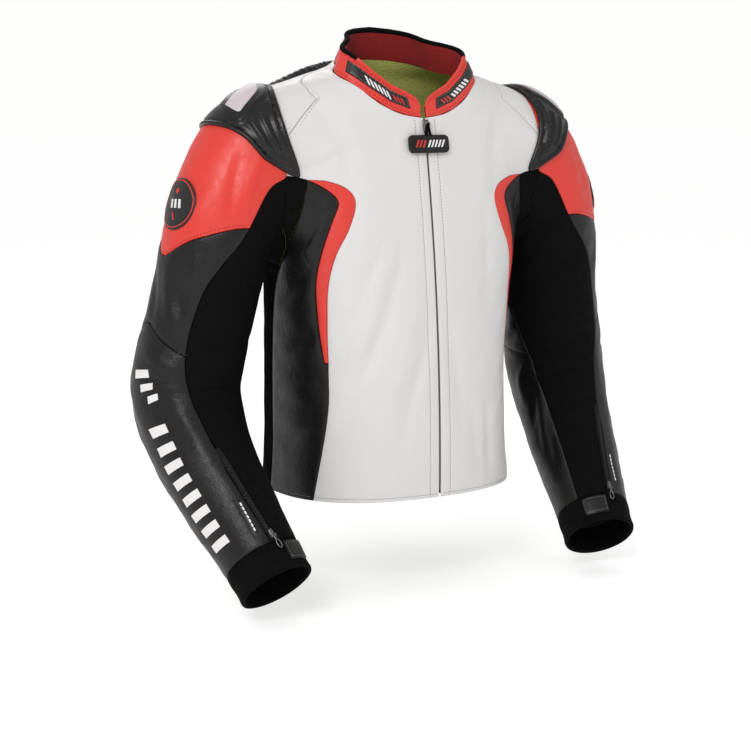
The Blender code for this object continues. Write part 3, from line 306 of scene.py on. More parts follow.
PROFILE = np.concatenate([[0], np.cumsum(np.hypot(np.diff(LEVELS[:, 0]), np.diff(LEVELS[:, 1])))])


def torso_flat(uv):
    """Nearly true lengths for laying out the points of a torso panel."""
    return np.stack([np.radians(uv[:, 0]) * 0.16, np.interp(uv[:, 1], LEVELS[:, 0], PROFILE)], -1)


def torso_unflat(xy):
    return np.stack([np.degrees(xy[:, 0] / 0.16), np.interp(xy[:, 1], PROFILE, LEVELS[:, 0])], -1)


def sleeve_frame(d):
    centre = np.stack([smooth_table(RINGS[:, 0], RINGS[:, k], d) for k in (1, 2, 3)], -1)
    roll = np.radians(smooth_table(RINGS[:, 0], RINGS[:, 4], d))
    pitch = np.radians(smooth_table(RINGS[:, 0], RINGS[:, 5], d))
    outward = np.stack([np.cos(roll), 0 * roll, np.sin(roll)], -1)
    forward = np.stack([0 * pitch, -np.cos(pitch), np.sin(pitch)], -1)
    return centre, outward, forward


def sleeve_point(uv):
    """Chart of the left sleeve: (angle from its outer line in degrees, distance down it)."""
    turn = np.radians(uv[:, 0])[:, None]
    centre, outward, forward = sleeve_frame(uv[:, 1])
    points = cast(centre, np.cos(turn) * outward + np.sin(turn) * forward, 0.16)
    near = uv[:, 1] < TUCK
    if near.any():
        points[near] = tucked(points[near], uv[near, 1])
    return points


def tucked(points, d):
    """The sleeve's first rows, drawn in under the arm until they meet the torso."""
    wall = torso_point(torso_chart(np.minimum(points, [ARMHOLE_X - ARMHOLE_GAP, 9.0, 9.0])))
    away = wall - points
    length = np.linalg.norm(away, axis=1)
    share = (1 - d / TUCK) ** 2 * np.maximum(length - TUCK_CLEAR, 0) / np.maximum(length, 1e-9)
    return points + away * share[:, None]


def sleeve_normal(uv, points):
    """The skin's normal, but the surface's own where it is drawn in under the arm."""
    normal = skin_normal(points)
    near = (uv[:, 1] < TUCK) & (np.abs(skin(points)) > 0.0014)
    if near.any():
        at = uv[near]
        across = sleeve_point(at + [1.0, 0.0]) - sleeve_point(at - [1.0, 0.0])
        along = sleeve_point(at + [0.0, 0.002]) - sleeve_point(at)
        own = np.cross(across, along)
        normal[near] = own / np.maximum(np.linalg.norm(own, axis=1, keepdims=True), 1e-12)
    return normal


def sleeve_flat(uv):
    return np.stack([np.radians(uv[:, 0]) * 0.066, uv[:, 1]], -1)


def sleeve_unflat(xy):
    return np.stack([np.degrees(xy[:, 0] / 0.066), xy[:, 1]], -1)


def resample(line, spacing):
    """Evenly spaced points along an open line, its ends kept."""
    length = np.concatenate([[0], np.cumsum(np.linalg.norm(np.diff(line, axis=0), axis=1))])
    count = max(1, round(length[-1] / spacing))
    at = np.linspace(0, length[-1], count + 1)
    return np.stack([np.interp(at, length, line[:, k]) for k in range(line.shape[1])], -1)


def inside_loops(points, loops):
    """Even-odd test, so a loop inside another is a hole."""
    x, y = points[:, 0], points[:, 1]
    result = np.zeros(len(points), bool)
    for loop in loops:
        for (x0, y0), (x1, y1) in zip(loop, np.roll(loop, -1, axis=0)):
            if y1 != y0:
                result ^= ((y0 > y) != (y1 > y)) & (x < (x1 - x0) * (y - y0) / (y1 - y0) + x0)
    return result


def inset(loop, gap):
    """Move a counter-clockwise loop inwards by the gap, and a clockwise one outwards."""
    before = loop - np.roll(loop, 1, axis=0)
    after = np.roll(loop, -1, axis=0) - loop
    before /= np.linalg.norm(before, axis=1, keepdims=True)
    after /= np.linalg.norm(after, axis=1, keepdims=True)
    side_a = np.stack([-before[:, 1], before[:, 0]], -1)
    side_b = np.stack([-after[:, 1], after[:, 0]], -1)
    bisector = side_a + side_b
    bisector /= np.maximum(np.linalg.norm(bisector, axis=1, keepdims=True), 0.3)
    return loop + bisector * gap / np.maximum((bisector * side_a).sum(1, keepdims=True), 0.4)


def facing_out(points, normals, faces):
    """The faces, all turned over if most of them look inwards."""
    corners = points[faces]
    across = np.cross(corners[:, 1] - corners[:, 0], corners[:, 2] - corners[:, 0])
    outwards = (across * normals[faces].mean(1)).sum(1) > 0
    return faces if outwards.mean() > 0.5 else faces[:, ::-1]


class Chart:
    """A surface laid out flat: chart pairs to points, and to nearly true lengths and back."""

    def __init__(self, point, flatten, unflatten, normal=None):
        self.point = point
        self.flatten = flatten
        self.unflatten = unflatten
        self.normal = normal or (lambda uv, p: skin_normal(p))


def area_of(loop):
    return np.sum(loop[:, 0] * np.roll(loop[:, 1], -1) - loop[:, 1] * np.roll(loop[:, 0], -1)) / 2


def flat_loop(lines, chart, gap, border, hole=False):
    """One closed loop from chart lines that each start where the last one ends."""
    loop = np.vstack([resample(chart.flatten(np.array(line, float)), border)[:-1] for line in lines])
    if (area_of(loop) < 0) != hole:
        loop = loop[::-1]
    return inset(loop, gap)


def rounded_box(width, height, radius, steps=3):
    """Outline of a rectangle with round corners, centred on zero."""
    points = []
    for k, (sx, sy) in enumerate(((1, 1), (-1, 1), (-1, -1), (1, -1))):
        for i in range(steps + 1):
            angle = math.radians(90 * k + 90 * i / steps)
            points.append((sx * (width / 2 - radius) + radius * math.cos(angle),
                           sy * (height / 2 - radius) + radius * math.sin(angle)))
    return points


def local_chart(origin, normal, up):
    """Flat chart on a plane at the origin, carried along its normal to the skin."""
    origin = np.array(origin, float)
    normal = np.array(normal, float) / np.linalg.norm(normal)
    across = np.cross(up, normal)
    across /= np.linalg.norm(across)
    upward = np.cross(normal, across)

    def point(uv):
        start = origin + uv[:, :1] * across + uv[:, 1:] * upward - 0.05 * normal
        return cast(start, np.broadcast_to(normal, start.shape), 0.12)

    def chart_of(points):
        away = np.array(points, float) - origin
        return np.stack([away @ across, away @ upward], -1)

    chart = Chart(point, lambda uv: uv, lambda xy: xy)
    chart.of = chart_of
    chart.origin, chart.facing, chart.across, chart.upward = origin, normal, across, upward
    return chart


TORSO = Chart(torso_point, torso_flat, torso_unflat)
SLEEVE = Chart(sleeve_point, sleeve_flat, sleeve_unflat, sleeve_normal)


def smooth(points):
    return curve_through(points, 4)


def neck(start, stop):
    """Neckline between two angles, the same on both sides."""
    turn = np.linspace(start, stop, 25)
    table = np.array(NECKLINE, float)
    return np.stack([turn, smooth_table(table[:, 0], table[:, 1], np.minimum(turn, 360 - turn))], -1)


def armhole(start, stop):
    """Armhole in the torso's chart, between two angles about the sleeve."""
    turn = np.linspace(start, stop, 25)
    ring = sleeve_point(np.stack([turn % 360, 0 * turn], -1))
    ring[:, 0] = np.minimum(ring[:, 0], ARMHOLE_X - ARMHOLE_GAP)
    return torso_chart(ring)


def opposite(line):
    """The same line on the wearer's right side."""
    return np.array(line) * [-1, 1] + [360, 0]


def front_edge(half_gap, top, bottom):
    """Line beside the zip at a constant distance from the middle plane."""
    z = np.linspace(top, bottom, 15)
    return np.stack([np.degrees(np.arctan2(half_gap, level(z, 2) - front_y(z))), z], -1)


def hem(start, stop):
    return [(start, HEM_Z), (stop, HEM_Z)]


def sleeve_seam(start, stop, side):
    """Seam between outer leather and inner fabric; side is 1 in front and -1 behind."""
    d = np.linspace(start, stop, 12)
    table = np.array(SLEEVE_SEAM if side > 0 else SLEEVE_SEAM_BACK)
    return np.stack([smooth_table(table[:, 0], table[:, 1], d), d], -1)


def ring(start, stop, d):
    return [(turn, d) for turn in np.linspace(start, stop, 12)]


def armhole_at(turn):
    return tuple(armhole(turn, turn)[0])


def collar_ring(turn):
    """Base of the collar at an angle from the front, a little above the panels' edge."""
    uv = neck(0, 360)
    z = np.interp(turn, uv[:, 0], uv[:, 1])
    return torso_point(np.stack([turn, z + 0.0012], -1))


def collar_height(turn):
    """The stand-up collar is lower and rounded off at its two front ends."""
    from_front = np.minimum(turn, 360 - turn)
    return np.interp(from_front, (2.5, 4, 8, 16, 30, 90, 180),
                     (0.011, 0.016, 0.022, 0.026, 0.028, 0.031, 0.033))


def collar_point(uv):
    """Chart of the collar: (angle from the front, share of its height)."""
    turn = uv[:, 0]
    base = collar_ring(turn)
    middle = np.array([0.0, 0.022, 0.0])
    inward = middle - base
    inward[:, 2] = 0
    inward /= np.linalg.norm(inward, axis=1, keepdims=True)
    rise = (collar_height(turn) * uv[:, 1])[:, None]
    lean = np.interp(np.minimum(turn, 360 - turn), *np.transpose(COLLAR_LEAN))[:, None]
    return base + rise * (np.array([0, 0, 1.0]) + lean * inward)


def collar_normal(uv, points):
    step = 0.5
    across = collar_point(uv + [step, 0]) - collar_point(uv - [step, 0])
    base = uv * [1, 0]
    upward = collar_point(base + [0, 1]) - collar_point(base)
    normal = np.cross(across, upward)
    return normal / np.linalg.norm(normal, axis=1, keepdims=True)


COLLAR = Chart(collar_point,
               lambda uv: uv * [math.radians(1) * 0.078, 0.038],
               lambda xy: xy / [math.radians(1) * 0.078, 0.038],
               collar_normal)


def sleeve_seam_behind(start, stop):
    """The seam behind the sleeve, with angles below zero, for panels on the outer side."""
    return sleeve_seam(start, stop, -1) - [360, 0]


def cup_outline(scale=1.0):
    middle = np.mean(CUP_POINTS, axis=0)
    return [tuple(middle + scale * (np.array(p) - middle)) for p in CUP_POINTS]


def arm_frame(turn, d):
    """Point, outward, down-the-sleeve and sideways directions on the left sleeve's skin."""
    uv = np.array([(turn, d - 0.004), (turn, d + 0.004), (turn, d)])
    above, below, point = sleeve_point(uv)
    down = (below - above) / np.linalg.norm(below - above)
    outward = skin_normal(point[None])[0]
    outward -= (outward @ down) * down
    outward /= np.linalg.norm(outward)
    return point, outward, down, np.cross(outward, down)


# ---------------------------------------------------------------- fineness of the surface
FINE = 0.0052             # spacing of the points inside a sheet
EDGE = 0.0042             # and along its border
SEAM_ROWS = (0.0007, 0.0018, 0.0040)   # rows of points beside the border, for the rolled edge
ROUND = 0.0013            # radius of a leather edge
SINK = 0.0006             # how far a seam pulls the leather down
SINK_WIDTH = 0.0040
GROOVE = 0.0005           # depth of a stitched row's groove
GROOVE_WIDTH = 0.0013
FOLD_CLEAR = 0.012        # folds fade out this close to a seam
STITCH_PITCH = 0.0040
STITCH_HALF = 0.0014
STITCH_RADIUS = 0.00034
ZIP_SHOWN = 0.0014        # half of the slit that shows between the front edges


# ---------------------------------------------------------------- pieces
class Pile:
    """Points and faces of one piece, with a material for each face."""

    def __init__(self):
        self.points = []
        self.faces = []
        self.face_looks = []
        self.looks = []
        self.count = 0

    def add(self, points, faces, look):
        if look not in self.looks:
            self.looks.append(look)
        self.points.append(np.asarray(points, float))
        self.faces += [tuple(int(i) + self.count for i in face) for face in faces]
        self.face_looks += [self.looks.index(look)] * len(faces)
        self.count += len(points)

    def make(self, name, side=1, sharp=50):
        points = np.vstack(self.points)
        faces = self.faces
        if side < 0:
            points = points * [-1, 1, 1]
            faces = [face[::-1] for face in faces]
        mesh = bpy.data.meshes.new(name)
        mesh.from_pydata([tuple(p) for p in points], [], faces)
        for look in self.looks:
            mesh.materials.append(look)
        mesh.polygons.foreach_set("material_index", self.face_looks)
        mesh.polygons.foreach_set("use_smooth", [True] * len(faces))
        mesh.set_sharp_from_angle(angle=math.radians(sharp))
        obj = bpy.data.objects.new(name, mesh)
        bpy.context.scene.collection.objects.link(obj)
        return obj


def side_name(side):
    return "_left" if side > 0 else "_right"


def elbow_bend():
    """Two points on the left arm's line past the elbow, where the sleeve shells stop on either side of its
    hinge.
    """
    tops = sleeve_frame(np.array([ELBOW_AT - ELBOW_CLEAR, ELBOW_AT + ELBOW_CLEAR]))[0]
    way = (tops[1] - tops[0]) / np.linalg.norm(tops[1] - tops[0])
    reach = []
    for d in (ELBOW_AT - ELBOW_CLEAR, ELBOW_AT + ELBOW_CLEAR):
        rim = sleeve_point(np.stack([np.arange(0, 360, 15.0), np.full(24, d)], -1))
        reach.append((rim - tops[0]) @ way)
    return tops[0] + reach[0].max() * way, tops[0] + reach[1].min() * way


def attach(obj, hold, side=1, node=None):
    """Place a piece on the frame: hold is a body, which becomes its parent, or "shoulder" or "elbow", for
    which the piece is only baked where it stands and fixed to no body; node is what it replaces.
    """
    tag = side_name(side)
    if hold == "shoulder":
        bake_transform(obj)
    elif hold == "elbow":
        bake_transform(obj)
    else:
        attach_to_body(obj, hold if hold in frame["bodies"] else hold + tag)
    if node:
        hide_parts(node)
    return obj


def attach_side(pile, name, hold, side, node, sharp=50):
    """Make a piece of one side from its pile and fix it in place of that side's node."""
    tag = side_name(side)
    return attach(pile.make(name + tag, side, sharp), hold, side, node + tag)


ELBOW_BEND = elbow_bend()


# ---------------------------------------------------------------- fine sheets
def distance(points, start, end, chunk=1200):
    """Distance of each flat point from the nearest of the segments."""
    along = end - start
    size = np.maximum((along ** 2).sum(1), 1e-14)
    best = [np.zeros(0)]
    for k in range(0, len(points), chunk):
        away = points[k:k + chunk, None] - start
        t = np.clip((away * along).sum(2) / size, 0, 1)
        best.append(np.linalg.norm(away - t[..., None] * along, axis=2).min(1))
    return np.concatenate(best)


def thinned(points, cell=0.0009):
    """The points, at most about one to a cell."""
    if not len(points):
        return points
    keep = np.unique(np.round(points / cell).astype(int), axis=0, return_index=True)[1]
    return points[np.sort(keep)]


def fill(loops, spacing, extra=None):
    """Triangles between flat loops, over a staggered grid of points and the extra points."""
    corners = np.vstack(loops)
    ends = np.vstack([np.roll(loop, -1, axis=0) for loop in loops])
    low, high = corners.min(0), corners.max(0)
    rows = np.arange(low[1] + spacing / 2, high[1], spacing * 0.87)
    starts = low[0] + spacing * (0.3 + 0.5 * (np.arange(len(rows)) % 2))
    grid = np.array([(x, y) for first, y in zip(starts, rows)
                     for x in np.arange(first, high[0], spacing)]).reshape(-1, 2)
    grid = grid[inside_loops(grid, loops)]
    grid = grid[distance(grid, corners, ends) > spacing * 0.5]
    if extra is not None and len(extra):
        grid = grid[distance(grid, extra, extra) > spacing * 0.42]
        grid = np.vstack([extra, grid])
    edges = []
    for loop in loops:
        first = len(edges)
        edges += [(first + i, first + (i + 1) % len(loop)) for i in range(len(loop))]
    made = delaunay_2d_cdt([tuple(p) for p in np.vstack([corners, grid])], edges, [], 0, 1e-9)
    flat = np.array([tuple(v) for v in made[0]])
    faces = np.array([f for f in made[2]])
    a, b, c = (flat[faces[:, k]] for k in range(3))
    size = ((b[:, 0] - a[:, 0]) * (c[:, 1] - a[:, 1]) - (b[:, 1] - a[:, 1]) * (c[:, 0] - a[:, 0])) / 2
    faces[size < 0] = faces[size < 0][:, ::-1]
    return flat, faces[inside_loops((a + b + c) / 3, loops) & (np.abs(size) > 1e-9)]


def fold(flat, line, width, depth):
    """Long soft valley along a line, or ridge where the depth is negative, fading at its ends."""
    spine = resample(line, width / 4)
    fade = np.sin(np.pi * (np.arange(len(spine)) + 0.5) / len(spine)) ** 0.6
    near = np.exp(-(((flat[:, None] - spine) / width) ** 2).sum(2)) * fade
    return -depth * near.max(1)


def ripple(p):
    """Gentle unevenness of soft leather, between about -1 and 1."""
    x, y, z = p.T
    return (0.45 * np.sin(62 * x + 23 * z + 1.3 * np.sin(31 * y))
            + 0.30 * np.sin(95 * z + 40 * y + 2.0 * np.sin(37 * x))
            + 0.25 * np.sin(150 * x - 120 * z + 70 * y))


def beside(line, gap):
    """Flat open line moved to its left by the gap."""
    step = np.gradient(line, axis=0)
    step /= np.linalg.norm(step, axis=1, keepdims=True)
    return line + gap * np.stack([-step[:, 1], step[:, 0]], -1)


class Sheet:
    """Fine patch inside closed chart lines, with its rolled edge, folds and stitched rows.

    rows are flat lines that are sewn. joins are (axis, flat place) where the border is no seam,
    because the same leather goes on there. folds are (chart line, width, depth), for each side.
    """

    def __init__(self, lines, chart, gap=SEAM_GAP, spacing=FINE, edge=EDGE, holes=(), hole_gap=SEAM_GAP,
                 rows=(), joins=(), folds=None, wave=0.0, shape=None, roll=ROUND, sink=SINK):
        self.chart = chart
        self.rows = [np.asarray(row) for row in rows]
        self.folds = folds or {}
        self.wave = wave
        self.shape = shape
        self.roll = roll
        self.sink = sink
        loops = [flat_loop(lines, chart, gap, edge)]
        loops += [flat_loop([hole], chart, hole_gap, edge, hole=True) for hole in holes]
        start = np.vstack(loops)
        joined = np.zeros(len(start), bool)
        for axis, place in joins:
            on_join = np.abs(start[:, axis] - place) < 2 * gap
            start[on_join, axis] = place
            joined |= on_join
        cuts = np.cumsum([len(loop) for loop in loops])[:-1]
        loops = np.split(start, cuts)
        end = np.vstack([np.roll(loop, -1, axis=0) for loop in loops])
        end_joined = np.concatenate([np.roll(part, -1) for part in np.split(joined, cuts)])
        seam = ~(joined & end_joined)
        self.seams = (start[seam], end[seam])
        self.flat, self.faces = fill(loops, spacing, self.extra_points(loops, start, end, edge))
        self.uv = chart.unflatten(self.flat)
        self.point = chart.point(self.uv)
        self.normal = chart.normal(self.uv, self.point)
        self.faces = facing_out(self.point, self.normal, self.faces)
        sides = {(int(t[k]), int(t[(k + 1) % 3])) for t in self.faces for k in range(3)}
        self.rim = [(a, b) for a, b in sides if (b, a) not in sides]

    def extra_points(self, loops, start, end, edge):
        """Rows of points beside the border and along the stitched rows."""
        points = []
        for away in SEAM_ROWS:
            beside_border = np.vstack([inset(loop, away) for loop in loops])
            points.append(beside_border[distance(beside_border, start, end) > 0.8 * away])
        for row in self.rows:
            line = resample(row, edge)
            points += [beside(line, gap) for gap in (0.0, -1.3 * GROOVE_WIDTH, 1.3 * GROOVE_WIDTH)]
        points = np.vstack(points)
        points = points[inside_loops(points, loops)]
        return thinned(points[distance(points, start, end) > 0.0005])

    def heights(self, flat, point, side):
        """Soft shape and edge shape above the skin at flat places."""
        away = distance(flat, *self.seams) if len(self.seams[0]) else np.full(len(flat), 9.0)
        keep = np.clip(away / FOLD_CLEAR, 0, 1)
        soft = self.wave * ripple(point * [side, 1, 1]) * keep
        for line, width, depth in self.folds.get(side, ()):
            soft = soft + keep * fold(flat, self.chart.flatten(smooth(line)), width, depth)
        lean = np.clip(1 - away / max(self.roll, 1e-6), 0, 1)
        edge = -self.roll * (1 - np.sqrt(1 - lean ** 2)) - self.sink * np.exp(-(away / SINK_WIDTH) ** 2)
        for row in self.rows:
            edge = edge - GROOVE * np.exp(-(distance(flat, row[:-1], row[1:]) / GROOVE_WIDTH) ** 2)
        if self.shape:
            edge = edge + self.shape(flat, point, away)
        return soft, edge

    def on_surface(self, flat, side, lift=0.0):
        """Points of the finished surface at flat places, and the skin's direction there."""
        uv = self.chart.unflatten(flat)
        point = self.chart.point(uv)
        normal = self.chart.normal(uv, point)
        soft, edge = self.heights(flat, point, side)
        return point + (soft + edge + lift)[:, None] * normal, normal

    def add_to(self, pile, side, look, backing=None, depth=0.0, thickness=LEATHER):
        """The closed sheet, its top this deep under the skin; it is mirrored when it is made."""
        soft, edge = self.heights(self.flat, self.point, side)
        top = self.point + (soft + edge - depth)[:, None] * self.normal
        bottom = self.point + (soft - depth - thickness)[:, None] * self.normal
        count = len(top)
        walls = []
        for a, b in self.rim:
            walls += [(b, a, a + count), (b, a + count, b + count)]
        first = pile.count
        pile.add(np.vstack([top, bottom]), [tuple(face) for face in self.faces] + walls, look)
        under = [tuple(int(i) + first + count for i in face[::-1]) for face in self.faces]
        if backing not in pile.looks and backing:
            pile.looks.append(backing)
        pile.faces += under
        pile.face_looks += [pile.looks.index(backing or look)] * len(under)

    def add_stitches(self, pile, side, thread, rows=None, depth=0.0):
        """Short raised threads along the stitched rows."""
        for row in (self.rows if rows is None else rows):
            count = int(np.linalg.norm(np.diff(row, axis=0), axis=1).sum() / STITCH_PITCH)
            if count < 2:
                continue
            line = resample(np.asarray(row), STITCH_PITCH)
            middle = (line[:-1] + line[1:]) / 2
            way = np.diff(line, axis=0)
            way /= np.linalg.norm(way, axis=1, keepdims=True)
            head = self.on_surface(middle + way * STITCH_HALF, side, STITCH_RADIUS * 0.5 - depth)[0]
            tail, up = self.on_surface(middle - way * STITCH_HALF, side, STITCH_RADIUS * 0.5 - depth)
            add_beads(pile, tail, head, up, thread)


BEAD_TURNS = 6


def add_beads(pile, tail, head, up, look, radius=STITCH_RADIUS):
    """Small round-ended threads from tail to head."""
    along = head - tail
    across = np.cross(along, up)
    across /= np.linalg.norm(across, axis=1, keepdims=True)
    rise = np.cross(across, along)
    rise /= np.linalg.norm(rise, axis=1, keepdims=True)
    turns = np.radians(np.arange(BEAD_TURNS) * 360 / BEAD_TURNS)
    points = [tail]
    for share, size in ((0.12, 0.85), (0.5, 1.15), (0.88, 0.85)):
        for turn in turns:
            away = math.cos(turn) * across + math.sin(turn) * rise
            points.append(tail + share * along + size * radius * away)
    points.append(head)
    points = np.stack(points, 1)
    faces = []
    last = 1 + 3 * BEAD_TURNS
    for j in range(BEAD_TURNS):
        k = (j + 1) % BEAD_TURNS
        faces.append((0, 1 + k, 1 + j))
        for ring_at in (1, 1 + BEAD_TURNS):
            faces.append((ring_at + j, ring_at + k, ring_at + k + BEAD_TURNS, ring_at + j + BEAD_TURNS))
        faces.append((last - BEAD_TURNS + j, last - BEAD_TURNS + k, last))
    size = points.shape[1]
    every = [tuple(i + size * n for i in face) for n in range(len(points)) for face in faces]
    pile.add(points.reshape(-1, 3), every, look)


def add_print(pile, sheet, outlines, side, look, lift=0.0005, depth=0.0, spacing=0.004):
    """Thin raised marks on a sheet, from chart outlines."""
    for outline in outlines:
        closed = sheet.chart.flatten(np.array(list(outline) + [outline[0]], float))
        loop = np.vstack([resample(closed[k:k + 2], 0.0025)[:-1] for k in range(len(outline))])
        if area_of(loop) < 0:
            loop = loop[::-1]
        flat, faces = fill([loop], spacing)
        top, normal = sheet.on_surface(flat, side, lift - depth)
        bottom = top - (lift + 0.0003) * normal
        faces = facing_out(top, normal, faces)
        edges = {(int(t[k]), int(t[(k + 1) % 3])) for t in faces for k in range(3)}
        count = len(top)
        all_faces = [tuple(face) for face in faces] + [tuple(i + count for i in face[::-1]) for face in faces]
        for a, b in edges:
            if (b, a) not in edges:
                all_faces += [(b, a, a + count), (b, a + count, b + count)]
        pile.add(np.vstack([top, bottom]), all_faces, look)


def add_sweep(pile, path, radius, look, turns=10, closed=False, up=(0, 0, 1)):
    """Round cord along a path."""
    path = np.asarray(path, float)
    radius = np.broadcast_to(radius, len(path))
    step = np.roll(path, -1, axis=0) - np.roll(path, 1, axis=0) if closed else np.gradient(path, axis=0)
    step /= np.linalg.norm(step, axis=1, keepdims=True)
    across = np.cross(step, np.broadcast_to(up, path.shape))
    across /= np.linalg.norm(across, axis=1, keepdims=True)
    rise = np.cross(across, step)
    rows = [path + radius[:, None] * (math.cos(t) * across + math.sin(t) * rise)
            for t in np.radians(np.arange(turns) * 360 / turns)]
    points = np.stack(rows, 1)
    count = len(path)
    faces = []
    for i in range(count if closed else count - 1):
        for j in range(turns):
            a, b = i * turns + j, i * turns + (j + 1) % turns
            c, d = ((i + 1) % count) * turns + (j + 1) % turns, ((i + 1) % count) * turns + j
            faces.append((a, d, c, b))
    if not closed:
        faces.append(tuple(range(turns)))
        faces.append(tuple(range((count - 1) * turns, count * turns))[::-1])
    pile.add(points.reshape(-1, 3), faces, look)


def add_block(pile, low, high, place_point, look, bevel=0.0):
    """Box with cut corners between two corners of a local frame, given as a function of (a, b, c)."""
    outline = [(low[0] + bevel, low[1]), (high[0] - bevel, low[1]), (high[0], low[1] + bevel),
               (high[0], high[1] - bevel), (high[0] - bevel, high[1]), (low[0] + bevel, high[1]),
               (low[0], high[1] - bevel), (low[0], low[1] + bevel)]
    middle = ((low[0] + high[0]) / 2, (low[1] + high[1]) / 2)
    layers = ((low[2], 1.0), (high[2] - bevel, 1.0), (high[2], 1.0 - 2 * bevel / max(high[0] - low[0], 1e-6)))
    points = []
    for depth, scale in layers:
        points += [place_point(middle[0] + scale * (a - middle[0]),
                               middle[1] + scale * (b - middle[1]), depth) for a, b in outline]
    faces = [tuple(range(8))[::-1], tuple(range(16, 24))]
    for layer in (0, 8):
        faces += [(layer + j, layer + (j + 1) % 8, layer + 8 + (j + 1) % 8, layer + 8 + j) for j in range(8)]
    points = np.array(points)
    centre = points.mean(0)
    first = points[list(faces[1])]
    across = np.cross(first[2] - first[0], first[4] - first[0])
    if across @ (first.mean(0) - centre) < 0:
        faces = [face[::-1] for face in faces]
    pile.add(points, faces, look)


# ---------------------------------------------------------------- materials
def look(name, colour, rough, bumps=(), mottle=0.06, metallic=0.0, specular=0.5, coat=0.0, sheen=0.0,
         mottle_scale=9.0, rough_spread=0.12):
    """Procedural material; bumps are (texture, scale per metre, height in metres)."""
    made = bpy.data.materials.new(name)
    made.use_nodes = True
    nodes, links = made.node_tree.nodes, made.node_tree.links
    shader = nodes["Principled BSDF"]
    shader.inputs["Metallic"].default_value = metallic
    shader.inputs["Specular IOR Level"].default_value = specular
    shader.inputs["Coat Weight"].default_value = coat
    shader.inputs["Coat Roughness"].default_value = 0.25
    shader.inputs["Sheen Weight"].default_value = sheen
    where = nodes.new("ShaderNodeTexCoord").outputs["Object"]
    patch = nodes.new("ShaderNodeTexNoise")
    patch.inputs["Scale"].default_value = mottle_scale
    patch.inputs["Detail"].default_value = 6.0
    links.new(where, patch.inputs["Vector"])
    ramp = nodes.new("ShaderNodeMix")
    ramp.data_type = "RGBA"
    ramp.inputs["A"].default_value = (*[c * (1 - mottle) for c in colour], 1)
    ramp.inputs["B"].default_value = (*[min(1, c * (1 + mottle)) for c in colour], 1)
    links.new(patch.outputs["Fac"], ramp.inputs["Factor"])
    links.new(ramp.outputs["Result"], shader.inputs["Base Color"])
    spread = nodes.new("ShaderNodeMapRange")
    spread.inputs["From Min"].default_value = 0.3
    spread.inputs["From Max"].default_value = 0.7
    spread.inputs["To Min"].default_value = max(0.02, rough - rough_spread)
    spread.inputs["To Max"].default_value = min(1.0, rough + rough_spread)
    fine = nodes.new("ShaderNodeTexNoise")
    fine.inputs["Scale"].default_value = mottle_scale * 9
    fine.inputs["Detail"].default_value = 4.0
    links.new(where, fine.inputs["Vector"])
    links.new(fine.outputs["Fac"], spread.inputs["Value"])
    links.new(spread.outputs["Result"], shader.inputs["Roughness"])
    last = None
    for kind, scale, height in bumps:
        if kind == "grain":
            texture = nodes.new("ShaderNodeTexVoronoi")
            texture.feature = "SMOOTH_F1"
            value = texture.outputs["Distance"]
        elif kind == "weave":
            texture = nodes.new("ShaderNodeTexWave")
            texture.bands_direction = "DIAGONAL"
            texture.inputs["Distortion"].default_value = 1.5
            value = texture.outputs["Fac"]
        else:
            texture = nodes.new("ShaderNodeTexNoise")
            texture.inputs["Detail"].default_value = 5.0
            value = texture.outputs["Fac"]
        texture.inputs["Scale"].default_value = scale
        links.new(where, texture.inputs["Vector"])
        bump = nodes.new("ShaderNodeBump")
        bump.inputs["Distance"].default_value = height
        links.new(value, bump.inputs["Height"])
        if last:
            links.new(last, bump.inputs["Normal"])
        last = bump.outputs["Normal"]
    if last:
        links.new(last, shader.inputs["Normal"])
    return made


WHITE = look("white_leather", (0.70, 0.69, 0.685), 0.42,
             (("noise", 55, 0.0005), ("grain", 900, 0.00012)), 0.012)
RED = look("red_leather", (0.71, 0.040, 0.026), 0.42, (("noise", 55, 0.0006), ("grain", 900, 0.00014)), 0.06)
BLACK = look("black_leather", (0.0060, 0.0055, 0.0058), 0.38,
             (("noise", 38, 0.0010), ("noise", 150, 0.0004), ("grain", 620, 0.00025)), 0.12, specular=0.34,
             rough_spread=0.05)
STRETCH = look("black_stretch", (0.0042, 0.0042, 0.0046), 0.9,
               (("weave", 900, 0.0001), ("noise", 60, 0.0004)), 0.08, specular=0.07)
RIBBED = look("accordion_leather", (0.0065, 0.0060, 0.0065), 0.45, (("grain", 700, 0.0002),), 0.1,
              specular=0.3)
SHELL = look("cup_shell", (0.0050, 0.0047, 0.0050), 0.33, (("noise", 70, 0.0002),), 0.1, specular=0.42,
             rough_spread=0.05)
INSERT = look("cup_insert", (0.60, 0.53, 0.56), 0.45, (("grain", 700, 0.0002),), 0.04)
RUBBER = look("badge_rubber", (0.010, 0.010, 0.010), 0.38, (("noise", 300, 0.0001),), 0.1)
MESH = look("lining_mesh", (0.46, 0.50, 0.13), 0.8, (("grain", 420, 0.0009),), 0.12, specular=0.2)
BRUSHED = look("collar_lining", (0.28, 0.018, 0.016), 0.85, (("noise", 500, 0.0003),), 0.1,
               specular=0.2, sheen=0.1)
BACKING = look("backing_fabric", (0.03, 0.03, 0.032), 0.85, (("weave", 700, 0.0002),), 0.1, specular=0.2)
FOAM = look("armour_foam", (0.05, 0.05, 0.055), 0.8, (("noise", 600, 0.0004),), 0.15, specular=0.25)
TAPE = look("zip_tape", (0.010, 0.010, 0.011), 0.8, (("weave", 1200, 0.0001),), 0.1, specular=0.2)
CUFF_TEETH = look("cuff_zip_teeth", (0.016, 0.016, 0.017), 0.42, (("noise", 400, 0.0001),), 0.1,
                  specular=0.35)
METAL = look("zip_metal", (0.16, 0.16, 0.165), 0.32, (("noise", 400, 0.0001),), 0.1, metallic=1.0)
GREY_THREAD = look("grey_thread", (0.16, 0.155, 0.155), 0.7, (), 0.1)
RED_THREAD = look("red_thread", (0.30, 0.012, 0.010), 0.7, (), 0.1)
